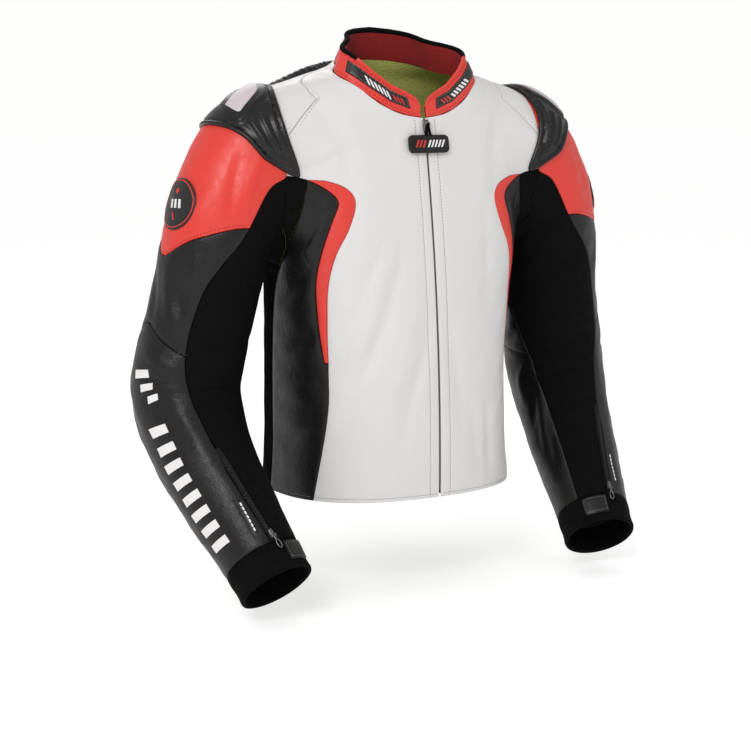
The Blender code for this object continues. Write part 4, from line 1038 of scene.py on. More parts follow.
DARK_THREAD = look("dark_thread", (0.018, 0.018, 0.018), 0.55, (), 0.1)
PALE_THREAD = look("pale_thread", (0.42, 0.40, 0.40), 0.7, (), 0.1)
WHITE_PRINT = look("white_print", (0.80, 0.78, 0.78), 0.4, (("noise", 300, 0.0001),), 0.02)
RED_PRINT = look("red_print", (0.62, 0.03, 0.02), 0.4, (("noise", 300, 0.0001),), 0.03)


# ---------------------------------------------------------------- torso
BACK_MIDDLE = math.radians(180) * 0.16
HEM_STITCH = 0.0050       # the hem's stitches lie this far above it
TWIN = 0.0024             # half of the distance between two rows that follow a seam
PLACKET = 0.0150          # the stitched row beside the zip


def flat_of(line):
    return TORSO.flatten(np.asarray(line, float))


def hem_row(start, stop):
    return flat_of([(turn, HEM_Z + HEM_STITCH) for turn in np.linspace(start, stop, 20)])


def torso_piece(name, sheet, look_of, thread=None, pale=None):
    """Left and right pieces of one torso panel."""
    for side in (1, -1):
        pile = Pile()
        sheet.add_to(pile, side, look_of, BACKING)
        if thread:
            sheet.add_stitches(pile, side, thread)
        if pale:
            sheet.add_stitches(pile, side, pale[1], pale[0])
        obj = pile.make("sewn_" + name + side_name(side), side)
        node = name if name in frame["nodes"] else name + side_name(side)
        attach(obj, "shoulder", side, node)


FRONT_FOLDS = {
    -1: (
        (((21.6, -0.225), (25, -0.275), (29.4, -0.324), (38.2, -0.395), (47.4, -0.459)), 0.011, 0.0042),
        (((12.0, -0.280), (18.0, -0.345), (26.0, -0.415), (36.0, -0.480)), 0.015, -0.0030),
        (((5.5, -0.333), (9.9, -0.382), (15.4, -0.430), (21.1, -0.490)), 0.009, 0.0034),
        (((32.0, -0.215), (40.4, -0.284), (47.9, -0.350)), 0.009, 0.0022),
        (((33.0, -0.260), (38.0, -0.330), (46.0, -0.400)), 0.011, -0.0016),
        (((70.6, -0.031), (58.0, -0.087), (47.5, -0.165)), 0.010, 0.0022),
        (((66.3, -0.140), (63.0, -0.131), (57.0, -0.118)), 0.0055, 0.0030),
        (((64.0, -0.118), (58.0, -0.106), (52.0, -0.100)), 0.008, -0.0018),
    ),
    1: (
        (((8.0, -0.330), (9.5, -0.380), (12.8, -0.440), (15.0, -0.500)), 0.011, 0.0022),
        (((17.8, -0.430), (21.7, -0.479), (24.0, -0.530)), 0.010, 0.0026),
        (((40.0, -0.190), (37.0, -0.250), (33.6, -0.320)), 0.010, 0.0020),
        (((30.0, -0.440), (31.0, -0.490), (33.0, -0.545)), 0.009, 0.0030),
        (((62.0, -0.060), (54.0, -0.100), (47.0, -0.160)), 0.010, 0.0016),
    ),
}


def front_sheets():
    shoulder_line = flat_of([armhole_at(ARM_FRONT_TOP), SHOULDER_FRONT, SHOULDER_TOP])
    placket = flat_of(front_edge(PLACKET, neck(6, 6)[0][1] - 0.003, HEM_Z))
    lines = [
        front_edge(ZIP_SHOWN, neck(1.5, 1.5)[0][1], HEM_Z),
        hem(front_edge(ZIP_SHOWN, HEM_Z, HEM_Z)[0][0], SIDE_FRONT_LOW[-1][0]),
        smooth(SIDE_FRONT_LOW)[::-1],
        smooth(TRIM_OUTER)[::-1],
        [TRIM_TOP, armhole_at(ARM_FRONT_LOW)],
        armhole(ARM_FRONT_LOW, ARM_FRONT_TOP),
        [armhole_at(ARM_FRONT_TOP), SHOULDER_FRONT],
        [SHOULDER_FRONT, SHOULDER_TOP],
        [SHOULDER_TOP, tuple(neck(114, 108)[0])],
        neck(114, 1.5),
    ]
    rows = [placket, hem_row(1.5, SIDE_FRONT_LOW[-1][0] - 1), sharp_beside(shoulder_line, -TWIN)]
    sheet = Sheet(lines, TORSO, rows=rows, folds=FRONT_FOLDS, wave=0.0007)
    torso_piece("front_panel", sheet, WHITE, GREY_THREAD)
    lines = [
        [armhole_at(ARM_FRONT_TOP), SHOULDER_FRONT],
        [SHOULDER_FRONT, SHOULDER_TOP],
        [SHOULDER_TOP, SHOULDER_BACK],
        [SHOULDER_BACK, armhole_at(ARM_BACK_TOP)],
        armhole(ARM_BACK_TOP, 360 + ARM_FRONT_TOP),
    ]
    back_line = flat_of([SHOULDER_TOP, SHOULDER_BACK, armhole_at(ARM_BACK_TOP)])
    rows = [sharp_beside(shoulder_line, TWIN), sharp_beside(back_line, TWIN)]
    sheet = Sheet(lines, TORSO, rows=rows, wave=0.0005)
    torso_piece("shoulder_panel", sheet, WHITE, GREY_THREAD)


def sharp_beside(line, gap):
    """Row beside a line with corners, each stretch moved on its own and cut where they meet."""
    parts = [line[k:k + 2] for k in range(len(line) - 1)]
    moved = []
    for part in parts:
        step = (part[1] - part[0]) / np.linalg.norm(part[1] - part[0])
        moved.append(part + gap * np.array([-step[1], step[0]]))
    out = [moved[0][0]]
    for a, b in zip(moved[:-1], moved[1:]):
        along_a, along_b = a[1] - a[0], b[1] - b[0]
        cross = along_a[0] * along_b[1] - along_a[1] * along_b[0]
        t = ((b[0] - a[0])[0] * along_b[1] - (b[0] - a[0])[1] * along_b[0]) / cross
        out.append(a[0] + t * along_a)
    out.append(moved[-1][1])
    return np.array(out)


def ribs_across(front_line, back_line, pitch, height, top=None):
    """Shape of an accordion panel: rounded ribs that run along it between two chart lines."""
    front_line, back_line = np.array(front_line), np.array(back_line)

    def shape(flat, point, away):
        uv = TORSO.unflatten(flat)
        z = uv[:, 1]
        low = np.interp(-z, -front_line[:, 1], front_line[:, 0])
        high = np.interp(-z, -back_line[:, 1], back_line[:, 0])
        count = np.radians(high - low).mean() * 0.16 / pitch
        share = (uv[:, 0] - low) / np.maximum(high - low, 1)
        strength = np.clip((top - z) / 0.02, 0, 1) if top is not None else 1.0
        return height * (np.abs(np.cos(np.pi * share * round(count))) - 1) * strength

    return shape


SIDE_FOLDS = {
    -1: (
        (((60.0, -0.330), (68.0, -0.352), (80.0, -0.372)), 0.009, 0.0024),
        (((66.0, -0.262), (74.0, -0.285), (84.0, -0.305)), 0.008, 0.0022),
        (((60.0, -0.440), (70.0, -0.470), (84.0, -0.490)), 0.010, 0.0026),
        (((62.0, -0.400), (72.0, -0.420), (86.0, -0.432)), 0.007, -0.0016),
        (((60.0, -0.195), (64.0, -0.225), (72.0, -0.240)), 0.006, -0.0016),
    ),
    1: (
        (((60.0, -0.320), (70.0, -0.350), (82.0, -0.365)), 0.009, 0.0024),
        (((62.0, -0.450), (72.0, -0.470), (86.0, -0.480)), 0.010, 0.0024),
        (((66.0, -0.250), (74.0, -0.270), (84.0, -0.300)), 0.008, 0.0018),
    ),
}


def side_sheets():
    trim = [smooth(TRIM_OUTER), [TRIM_OUTER[-1], TRIM_INNER[-1]], smooth(TRIM_INNER)[::-1]]
    sheet = Sheet(trim, TORSO, spacing=0.0045, wave=0.0005)
    torso_piece("side_trim", sheet, RED)
    lines = [
        smooth(TRIM_INNER),
        [TRIM_INNER[-1], TRIM_OUTER[-1]],
        smooth(SIDE_FRONT_LOW),
        hem(SIDE_FRONT_LOW[-1][0], STRETCH_FRONT[-1][0]),
        smooth(STRETCH_FRONT)[::-1],
    ]
    edge_row = beside(resample(flat_of(smooth(TRIM_INNER)), 0.008), TWIN)
    patch = ((66.5, -0.165), (63.0, -0.190), (65.0, -0.215), (69.0, -0.240), (63.0, -0.262))
    patch_row = flat_of(smooth(patch))
    hem_line = hem_row(SIDE_FRONT_LOW[-1][0] + 1, STRETCH_FRONT[-1][0] - 1)
    sheet = Sheet(lines, TORSO, rows=[edge_row[2:-2], patch_row, hem_line], folds=SIDE_FOLDS, wave=0.0011)
    torso_piece("side_panel", sheet, BLACK, DARK_THREAD, ([hem_line], PALE_THREAD))
    back_line = smooth((armhole_at(ARM_SIDE_BACK),) + STRETCH_BACK)
    lines = [
        [armhole_at(ARM_FRONT_LOW), TRIM_TOP],
        smooth(STRETCH_FRONT),
        hem(STRETCH_FRONT[-1][0], STRETCH_BACK[-1][0]),
        back_line[::-1],
        armhole(ARM_SIDE_BACK, ARM_FRONT_LOW),
    ]
    ribs = ribs_across(smooth(STRETCH_FRONT), back_line, 0.0085, 0.0034, top=-0.225)
    hem_line = hem_row(STRETCH_FRONT[-1][0] + 1, STRETCH_BACK[-1][0] - 1)
    sheet = Sheet(lines, TORSO, spacing=0.0024, edge=0.0036, rows=[hem_line], wave=0.0006, shape=ribs)
    torso_piece("side_stretch", sheet, STRETCH, DARK_THREAD)
    lines = [
        back_line,
        hem(STRETCH_BACK[-1][0], BACK_SEAM[-1][0]),
        smooth((armhole_at(ARM_BACK_LOW),) + BACK_SEAM)[::-1],
        armhole(ARM_BACK_LOW, ARM_SIDE_BACK),
    ]
    seam = resample(flat_of(smooth((armhole_at(ARM_BACK_LOW),) + BACK_SEAM)), 0.008)
    rows = [beside(seam, -TWIN)[1:-1], hem_row(STRETCH_BACK[-1][0] + 1, BACK_SEAM[-1][0] - 1)]
    sheet = Sheet(lines, TORSO, rows=rows, wave=0.0012)
    torso_piece("back_side", sheet, BLACK, DARK_THREAD)


YOKE_PUFF = 0.0085         # the accordion panel stands this proud of the shoulder


BACK_FOLDS = {
    side: (
        (((146, -0.300), (160, -0.330), (176, -0.345)), 0.011, 0.0030),
        (((144, -0.370), (158, -0.395), (172, -0.400)), 0.012, 0.0034),
        (((146, -0.440), (160, -0.470), (174, -0.480)), 0.011, 0.0026),
        (((136, -0.130), (144, -0.170), (150, -0.220)), 0.012, 0.0026),
    ) for side in (1, -1)
}


def back_sheets():
    seam = smooth((armhole_at(ARM_BACK_LOW),) + BACK_SEAM)
    yoke = smooth(YOKE_INNER + (armhole_at(ARM_BACK_MID),))
    lines = [
        yoke,
        armhole(ARM_BACK_MID, ARM_BACK_LOW),
        seam,
        hem(BACK_SEAM[-1][0], 180),
        [(180, HEM_Z), (180, neck(180, 180)[0][1])],
        neck(180, YOKE_INNER[0][0]),
    ]
    rows = [beside(resample(flat_of(line), 0.008), TWIN)[1:-1] for line in (seam, yoke)]
    rows.append(hem_row(BACK_SEAM[-1][0] + 1, 180))
    sheet = Sheet(lines, TORSO, rows=rows, joins=((0, BACK_MIDDLE),), folds=BACK_FOLDS, wave=0.0008)
    torso_piece("back_panel", sheet, WHITE, GREY_THREAD)
    lines = [
        neck(114, YOKE_INNER[0][0]),
        yoke,
        armhole(ARM_BACK_MID, ARM_BACK_TOP),
        [armhole_at(ARM_BACK_TOP), SHOULDER_BACK],
        [SHOULDER_BACK, SHOULDER_TOP],
        [SHOULDER_TOP, tuple(neck(114, 108)[0])],
    ]

    def ribs(flat, point, away):
        rib = np.abs(np.cos(np.pi * point[:, 0] / 0.0085)) - 1
        return 0.0028 * rib * np.clip(away / 0.006, 0, 1) + YOKE_PUFF * (1 - np.exp(-(away / 0.009) ** 2))

    sheet = Sheet(lines, TORSO, spacing=0.0024, edge=0.0036, wave=0.0, shape=ribs)
    torso_piece("shoulder_stretch", sheet, RIBBED)


# ---------------------------------------------------------------- collar
def collar_lines(start, low, high):
    turn = np.concatenate([np.linspace(start, 20, 8), np.linspace(24, 336, 80),
                           np.linspace(340, 360 - start, 8)])
    return [[(t, low) for t in turn], [(360 - start, low), (360 - start, high)],
            [(t, high) for t in turn[::-1]], [(start, high), (start, low)]]


BADGE_OUTLINE = ((13, 0.30), (60, 0.26), (60, 0.76), (15, 0.80))


def slanted_bars(first, last, low, high, count, width, slant):
    """Row of slanted strokes between two chart places, as outlines."""
    out = []
    for middle in np.linspace(first, last, count):
        out.append(((middle - width / 2 - slant / 2, low), (middle + width / 2 - slant / 2, low),
                    (middle + width / 2 + slant / 2, high), (middle - width / 2 + slant / 2, high)))
    return out


def collar_sheets():
    row_turns = np.linspace(COLLAR_START + 2.2, 357.8 - COLLAR_START, 90)
    rows = [COLLAR.flatten(np.array([(t, share) for t in row_turns])) for share in (0.10, 0.90)]
    outline = collar_lines(COLLAR_START, -0.03, 1.0)
    sheet = Sheet(outline, COLLAR, spacing=0.004, edge=0.0035, rows=rows, wave=0.0003)
    pile = Pile()
    sheet.add_to(pile, 1, RED, BACKING, thickness=0.0026)
    sheet.add_stitches(pile, 1, RED_THREAD)
    attach(pile.make("sewn_collar"), "torso", 1, "collar_shell")
    lining_sheet = Sheet(collar_lines(COLLAR_START, -0.25, 1.0), COLLAR, spacing=0.006, wave=0.0)
    pile = Pile()
    lining_sheet.add_to(pile, 1, BRUSHED, None, depth=0.0030, thickness=0.0016)
    attach(pile.make("sewn_collar_lining"), "torso", 1, "collar_lining")
    collar_roll()
    for side in (1, -1):
        collar_badge(side)


def collar_roll():
    """Rolled top edge: red leather at the front, soft black binding round the sides and back."""
    turn = np.linspace(COLLAR_START, 360 - COLLAR_START, 150)
    uv = np.stack([turn, np.full(len(turn), 1.04)], -1)
    points = collar_point(uv) - 0.0016 * collar_normal(uv, collar_point(uv))
    from_front = np.minimum(turn, 360 - turn)
    radius = np.interp(from_front, (2, 6, 40, 62, 180), (0.0014, 0.0019, 0.0020, 0.0032, 0.0040))
    pile = Pile()
    cuts = np.flatnonzero(np.diff((from_front > 55).astype(int))) + 1
    for part, skin_look in ((slice(0, cuts[0] + 1), RED), (slice(cuts[0], cuts[1] + 1), STRETCH),
                            (slice(cuts[1], len(turn)), RED)):
        add_sweep(pile, points[part], radius[part], skin_look, turns=12)
    attach(pile.make("collar_roll", sharp=70), "torso", 1, "collar_binding")


def collar_badge(side):
    outline = [[a, b] for a, b in zip(BADGE_OUTLINE, BADGE_OUTLINE[1:] + BADGE_OUTLINE[:1])]
    flat = COLLAR.flatten(np.array(BADGE_OUTLINE, float))
    if area_of(flat) < 0:
        flat = flat[::-1]
    border = inset(flat, 0.0021)
    border = np.vstack([border, border[:1]])
    sheet = Sheet(outline, COLLAR, spacing=0.0026, edge=0.0026, rows=[border], roll=0.0009, sink=0.0)
    pile = Pile()
    sheet.add_to(pile, 1, RUBBER, None, depth=-0.0016, thickness=0.0014)
    sheet.add_stitches(pile, 1, GREY_THREAD, depth=-0.0016)
    way = -3.0 * side
    add_print(pile, sheet, slanted_bars(20.5, 27, 0.38, 0.60, 3, 1.5, way), 1, RED_PRINT, depth=-0.0016)
    add_print(pile, sheet, slanted_bars(32, 47, 0.36, 0.60, 6, 1.6, way), 1, WHITE_PRINT, depth=-0.0016)
    attach_side(pile, "collar_patch", "torso", side, "collar_badge")


# ---------------------------------------------------------------- front zip and what lies inside
def front_point(uv):
    """Chart of the front's middle: (x, height) to a point on the front arc."""
    return np.stack([uv[:, 0], front_y(uv[:, 1]), uv[:, 1]], -1)


def front_normal(uv, points):
    away = points - np.array([0.0, FRONT_ARC_Y, FRONT_ARC_Z])
    away[:, 0] = 0
    return away / np.linalg.norm(away, axis=1, keepdims=True)


FRONT = Chart(front_point, lambda uv: uv, lambda xy: xy, front_normal)


def front_frame(x, z, depth):
    """Point beside the zip: depth is measured inwards from the front arc."""
    uv = np.array([(x, z)])
    point = front_point(uv)
    return (point - depth * front_normal(uv, point))[0]


TOOTH_PITCH = 0.0030


def strip_lines(left, right, top, low):
    """Border of an upright strip beside the zip, in the front's chart."""
    return [[(left, top), (right, top)], [(right, top), (right, low)], [(right, low), (left, low)],
            [(left, low), (left, top)]]


def zip_halves():
    for side in (1, -1):
        pile = Pile()
        lines = strip_lines(0.0009, 0.0130, ZIP_TOP, HEM_Z + 0.004)
        sheet = Sheet(lines, FRONT, spacing=0.006, edge=0.006, roll=0.0003, sink=0.0)
        sheet.add_to(pile, side, TAPE, None, depth=0.0036, thickness=0.0012)
        first = ZIP_TOP - 0.004 - (TOOTH_PITCH / 2 if side > 0 else 0)
        for z in np.arange(first, HEM_Z + 0.008, -TOOTH_PITCH):
            add_block(pile, (-0.0007, z - 0.0009, 0.0), (0.0030, z + 0.0009, 0.0018),
                      lambda a, b, c: front_frame(a, b, 0.0040 - c), METAL, 0.0003)
        attach_side(pile, "front_zip_teeth", "torso", side, "zip_half")


def storm_flap():
    half = 0.0150
    top, low = ZIP_TOP - 0.008, HEM_Z + 0.004
    lines = strip_lines(-half, half, top, low)
    rows = [np.array([(x, top), (x, low)]) for x in (-half + 0.003, half - 0.003)]
    sheet = Sheet(lines, FRONT, spacing=0.006, edge=0.006, roll=0.0004, sink=0.0, rows=rows)
    pile = Pile()
    sheet.add_to(pile, 1, BLACK, BACKING, depth=0.0070, thickness=0.0014)
    sheet.add_stitches(pile, 1, DARK_THREAD, depth=0.0070)
    attach(pile.make("storm_flap_leather"), "torso", 1, "storm_flap")


def lining():
    edge = front_edge(0.021, -0.082, HEM_Z + 0.012)
    start = edge[-1][0]
    lines = [edge, [(start, HEM_Z + 0.012), (360 - start, HEM_Z + 0.012)], opposite(edge)[::-1],
             neck(360 - edge[0][0], edge[0][0]) - [0, 0.001]]
    hole = armhole(0, 360)
    sheet = Sheet(lines, TORSO, spacing=0.010, edge=0.008, holes=(hole, opposite(hole)), hole_gap=0.015,
                  roll=0.0003, sink=0.0)
    pile = Pile()
    sheet.add_to(pile, 1, BACKING, MESH, depth=LINING_DEPTH, thickness=0.0012)
    attach(pile.make("mesh_lining"), "torso", 1, "body_lining")


DIMPLE_PITCH = 0.018


def pad_piece(name, lines, chart, hold, side, node, depth, thickness, swell=0.0012):
    """Moulded foam pad: rounded rim, crowned, with a grid of dimples."""
    def shape(flat, point, away):
        dimple = np.cos(2 * np.pi * flat / DIMPLE_PITCH).prod(1)
        crown = 1 - np.exp(-(away / 0.012) ** 2)
        return swell * crown - 0.0010 * np.clip(dimple, 0, 1) ** 2 * crown

    sheet = Sheet(lines, chart, spacing=0.004, edge=0.005, roll=0.0025, sink=0.0, shape=shape)
    pile = Pile()
    sheet.add_to(pile, side, FOAM, None, depth=depth, thickness=thickness)
    obj = attach(pile.make(name, side), hold, side, node)


def back_protector():
    side = smooth(((163, -0.050), (155, -0.100), (152, -0.200), (158, -0.330), (164, -0.430), (170, -0.470)))
    lines = [side, [side[-1], (360 - side[-1][0], side[-1][1])], opposite(side)[::-1],
             [(360 - side[0][0], side[0][1]), side[0]]]
    pad_piece("back_pad", lines, TORSO, "torso", 1, "back_protector", 0.0117, 0.0078)


def waist_zip():
    top, bottom = HEM_Z + 0.034, HEM_Z + 0.010
    lines = [[(125, top), (125, bottom)], [(t, bottom) for t in np.linspace(125, 235, 30)],
             [(235, bottom), (235, top)], [(t, top) for t in np.linspace(235, 125, 30)]]
    sheet = Sheet(lines, TORSO, spacing=0.006, roll=0.0004, sink=0.0)
    pile = Pile()
    sheet.add_to(pile, 1, TAPE, None, depth=0.0110, thickness=0.0016)
    turns = np.arange(126, 234, math.degrees(TOOTH_PITCH / 0.16))
    for turn in turns:
        low = torso_point(np.array([(turn - 0.35, bottom + 0.001), (turn + 0.35, bottom + 0.001)]))
        way = low[1] - low[0]
        inward = -skin_normal(low)[0]
        add_block(pile, (0.0, -0.0030, 0.0), (1.0, 0.0010, 0.0022),
                  lambda a, b, c: low[0] + a * way + np.array([0, 0, b]) + (0.0116 + c) * inward, METAL)
    attach(pile.make("waist_zip_teeth"), "torso", 1, "waist_zip")


# ---------------------------------------------------------------- sleeves
ELBOW_SEAM = ((-206, 0.304), (-160, 0.290), (-110, 0.276), (-60, 0.262), (-27, 0.246), (0, 0.233),
              (27, 0.246), (43, 0.254), (60, 0.262))
INNER_TOP = ELBOW_AT - ELBOW_CLEAR
INNER_LOW = ELBOW_AT + ELBOW_CLEAR


def both_ways(line):
    """Line from the back round the outside to the front, from its front half."""
    return [(-turn, d) for turn, d in smooth(line)[::-1]] + [(turn, d) for turn, d in smooth(line)[1:]]


def sleeve_row(line, gap):
    return beside(resample(SLEEVE.flatten(np.array(line, float)), 0.006), gap)


SLEEVE_FOLDS = {
    -1: (
        (((40, 0.128), (49, 0.160), (52, 0.200), (50, 0.225)), 0.0065, -0.0026),
        (((16, 0.160), (22, 0.195), (38, 0.228)), 0.0080, -0.0028),
        (((30, 0.150), (36, 0.185), (44, 0.215)), 0.0055, 0.0026),
        (((58, 0.140), (62, 0.165), (58, 0.195)), 0.0045, 0.0020),
        (((-10, 0.175), (-2, 0.205), (8, 0.228)), 0.0070, 0.0024),
    ),
    1: (
        (((40, 0.135), (48, 0.165), (50, 0.205)), 0.0065, -0.0026),
        (((20, 0.160), (26, 0.195), (36, 0.225)), 0.0070, 0.0028),
        (((-25, 0.165), (-15, 0.200), (-5, 0.228)), 0.0070, 0.0024),
        (((-190, 0.240), (-178, 0.262), (-160, 0.280)), 0.0060, -0.0026),
        (((-176, 0.225), (-165, 0.250), (-150, 0.262)), 0.0060, 0.0026),
    ),
}
RED_FOLDS = {
    -1: (
        (((45, 0.050), (58, 0.075), (66, 0.098)), 0.0060, 0.0030),
        (((60, 0.030), (70, 0.055), (78, 0.080)), 0.0060, -0.0026),
        (((25, 0.110), (35, 0.100), (45, 0.080)), 0.0080, -0.0022),
    ),
    1: (
        (((40, 0.050), (52, 0.080), (60, 0.105)), 0.0070, 0.0022),
        (((15, 0.115), (25, 0.100), (35, 0.080)), 0.0080, -0.0014),
    ),
}
INNER_FOLDS = {
    side: (
        (((110, 0.060), (130, 0.090), (150, 0.110)), 0.0070, 0.0026),
        (((100, 0.140), (125, 0.165), (150, 0.175)), 0.0080, 0.0026),
        (((85, 0.215), (120, 0.235), (160, 0.235)), 0.0080, 0.0022),
    ) for side in (1, -1)
}
FOREARM_FOLDS = {
    -1: (
        (((4, 0.262), (30, 0.272), (55, 0.284)), 0.0075, -0.0026),
        (((8, 0.290), (30, 0.300), (52, 0.305)), 0.0070, 0.0022),
        (((50, 0.320), (60, 0.380), (63, 0.450)), 0.0080, -0.0018),
        (((-40, 0.300), (-20, 0.330), (-10, 0.370)), 0.0080, 0.0022),
    ),
    1: (
        (((-40, 0.262), (-10, 0.275), (30, 0.280)), 0.0075, -0.0024),
        (((-30, 0.300), (0, 0.310), (40, 0.300)), 0.0070, 0.0022),
        (((30, 0.380), (40, 0.420), (42, 0.470)), 0.0080, 0.0018),
        (((-202, 0.318), (-188, 0.345), (-178, 0.385)), 0.0060, -0.0026),
        (((-205, 0.365), (-194, 0.395), (-182, 0.425)), 0.0055, 0.0028),
        (((-205, 0.405), (-196, 0.435), (-186, 0.470)), 0.0060, -0.0026),
        (((-206, 0.455), (-198, 0.480), (-188, 0.515)), 0.0055, 0.0024),
    ),
}


def sleeve_piece(name, sheet, look_of, slot, hold, nodes, thread=None, prints=None, **sizes):
    for side in (1, -1):
        pile = Pile()
        sheet.add_to(pile, side, look_of, BACKING, **sizes)
        if thread:
            sheet.add_stitches(pile, side, thread)
        if prints:
            prints(pile, sheet, side)
        obj = attach(pile.make("sewn_" + name + side_name(side), side), hold, side, None)
        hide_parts(*[node + side_name(side) for node in nodes])


def upper_sleeves():
    red_edge = smooth(RED_EDGE)
    red_low = RED_EDGE[-1][1]
    lines = [red_edge, sleeve_seam(red_low, 0, 1), ring(95, -95, 0.0), sleeve_seam_behind(0, red_low),
             [(-turn, d) for turn, d in red_edge[::-1]]]
    edge_row = sleeve_row(both_ways(RED_EDGE), -0.0030)
    sheet = Sheet(lines, SLEEVE, rows=[edge_row[1:-1]], folds=RED_FOLDS, wave=0.0006)
    sleeve_piece("sleeve_red", sheet, RED, "red_leather", "shoulder", ["sleeve_red"], RED_THREAD)
    elbow_low = ELBOW_SEAM[-1][1]
    elbow_seam = smooth(ELBOW_SEAM)
    outer = [sleeve_seam(red_low, elbow_low, 1), elbow_seam[::-1],
             sleeve_seam_behind(red_low, ELBOW_SEAM[0][1])[::-1], both_ways(RED_EDGE)]
    rows = [sleeve_row(elbow_seam, -TWIN)[1:-1]]
    sheet = Sheet(outer, SLEEVE, rows=rows, folds=SLEEVE_FOLDS, wave=0.0010)
    sleeve_piece("upper_sleeve_outer", sheet, BLACK, "black_leather", "shoulder", ["upper_sleeve_outer"],
                 DARK_THREAD)
    front = sleeve_seam(0, INNER_TOP, 1)
    back = sleeve_seam(INNER_TOP, 0, -1)
    inner = [front, ring(front[-1][0], back[0][0], INNER_TOP), back, ring(265, 95, 0.0)]
    sheet = Sheet(inner, SLEEVE, spacing=0.0060, joins=((1, INNER_TOP),), folds=INNER_FOLDS, wave=0.0008)
    sleeve_piece("upper_sleeve_inner", sheet, STRETCH, "black_stretch", "shoulder", ["upper_sleeve_inner"])


def forearm_marks(pile, sheet, side):
    """Two groups of plain slanted bars along the forearm, and a small sewn label."""
    high_group = [((0 + 11 * k, 0.289 + 0.019 * k), (21 + 7 * k, 0.286 + 0.019 * k),
                   (22 + 7 * k, 0.297 + 0.019 * k), (1 + 11 * k, 0.300 + 0.019 * k)) for k in range(3)]
    low_group = []
    for k, d in enumerate(np.linspace(0.366, 0.522, 8)):
        low, high = 14 - 0.9 * k, 37.5
        low_group.append(((low, d), (high, d + 0.002), (high, d + 0.013), (low, d + 0.011)))
    add_print(pile, sheet, high_group + low_group, side, WHITE_PRINT)
    label = [[(70.5 - 0.1 * k, 0.500 + 0.006 * k), (72.5 - 0.1 * k, 0.500 + 0.006 * k),
              (72.4 - 0.1 * k, 0.5045 + 0.006 * k), (70.4 - 0.1 * k, 0.5045 + 0.006 * k)] for k in range(7)]
    add_print(pile, sheet, label, side, WHITE_PRINT, lift=0.0003)


def forearms():
    low = CUFF_TOP
    elbow_low = ELBOW_SEAM[-1][1]
    front = sleeve_seam(elbow_low, low, 1)
    slot = ZIP_SLOT * np.interp(front[:, 1], (CUFF_ZIP_TOP - 0.012, CUFF_ZIP_TOP), (0, 1))
    outer_front = front - np.stack([slot, 0 * slot], -1)
    back = sleeve_seam_behind(ELBOW_SEAM[0][1], low)
    outer = [outer_front, ring(outer_front[-1][0], back[-1][0], low), back[::-1], smooth(ELBOW_SEAM)]
    box = [(68.0, 0.494), (74.5, 0.494), (74.0, 0.548), (67.0, 0.548), (68.0, 0.494)]
    rows = [sleeve_row(smooth(ELBOW_SEAM), TWIN)[1:-1], SLEEVE.flatten(np.array(box))]
    sheet = Sheet(outer, SLEEVE, rows=rows, folds=FOREARM_FOLDS, wave=0.0010)
    sleeve_piece("forearm_outer", sheet, BLACK, "black_leather", "elbow", ["forearm_outer"], DARK_THREAD,
                 forearm_marks)
    band_front, band_back = sleeve_seam(INNER_TOP, INNER_LOW, 1), sleeve_seam(INNER_LOW, INNER_TOP, -1)
    band = [band_front, ring(band_front[-1][0], band_back[0][0], INNER_LOW), band_back,
            ring(band_back[-1][0], band_front[0][0], INNER_TOP)]
    folds = {side: ((((72, 0.335), (110, 0.325), (146, 0.332)), 0.0080, 0.0030),
                    (((72, 0.312), (110, 0.304), (148, 0.310)), 0.0070, 0.0020),
                    (((76, 0.362), (110, 0.352), (144, 0.360)), 0.0070, 0.0022)) for side in (1, -1)}
    sheet = Sheet(band, SLEEVE, joins=((1, INNER_TOP), (1, INNER_LOW)), folds=folds, wave=0.0008)
    sleeve_piece("elbow_stretch", sheet, STRETCH, "black_stretch", "elbow", ["elbow_stretch"])
    inner_front = sleeve_seam(INNER_LOW, low, 1)
    slot = ZIP_SLOT * np.interp(inner_front[:, 1], (CUFF_ZIP_TOP - 0.012, CUFF_ZIP_TOP), (0, 1))
    inner_front = inner_front + np.stack([slot, 0 * slot], -1)
    inner_back = sleeve_seam(low, INNER_LOW, -1)
    inner = [inner_front, ring(inner_front[-1][0], inner_back[0][0], low), inner_back,
             ring(inner_back[-1][0], inner_front[0][0], INNER_LOW)]
    sheet = Sheet(inner, SLEEVE, spacing=0.0060, joins=((1, INNER_LOW),), wave=0.0008)
    sleeve_piece("forearm_inner", sheet, STRETCH, "black_stretch", "forearm", ["forearm_inner"])


def cuffs():
    """Soft cuff band with its rolled end."""
    turns = np.arange(0, 360, 5.0)
    levels = [(0.0008, -0.0010), (0.0020, 0.0), (0.012, 0.0006), (0.024, 0.0), (0.034, 0.0008),
              (0.0385, 0.0016), (0.0415, 0.0010), (0.0425, -0.0012), (0.0415, -0.0032), (0.0385, -0.0040),
              (0.024, -0.0036), (0.0008, -0.0036)]
    rows = []
    for along, rise in levels:
        uv = np.stack([turns, np.full(len(turns), CUFF_TOP + along)], -1)
        points = sleeve_point(uv)
        rows.append(points + rise * skin_normal(points))
    rows = np.array(rows)
    count = len(turns)
    faces = []
    for i in range(len(levels)):
        for j in range(count):
            k = (j + 1) % count
            n = (i + 1) % len(levels)
            faces.append((i * count + j, n * count + j, n * count + k, i * count + k))
    for side in (1, -1):
        pile = Pile()
        pile.add(rows.reshape(-1, 3), [face[::-1] for face in faces], STRETCH)
        attach_side(pile, "cuff_band", "forearm", side, "cuff", 70)


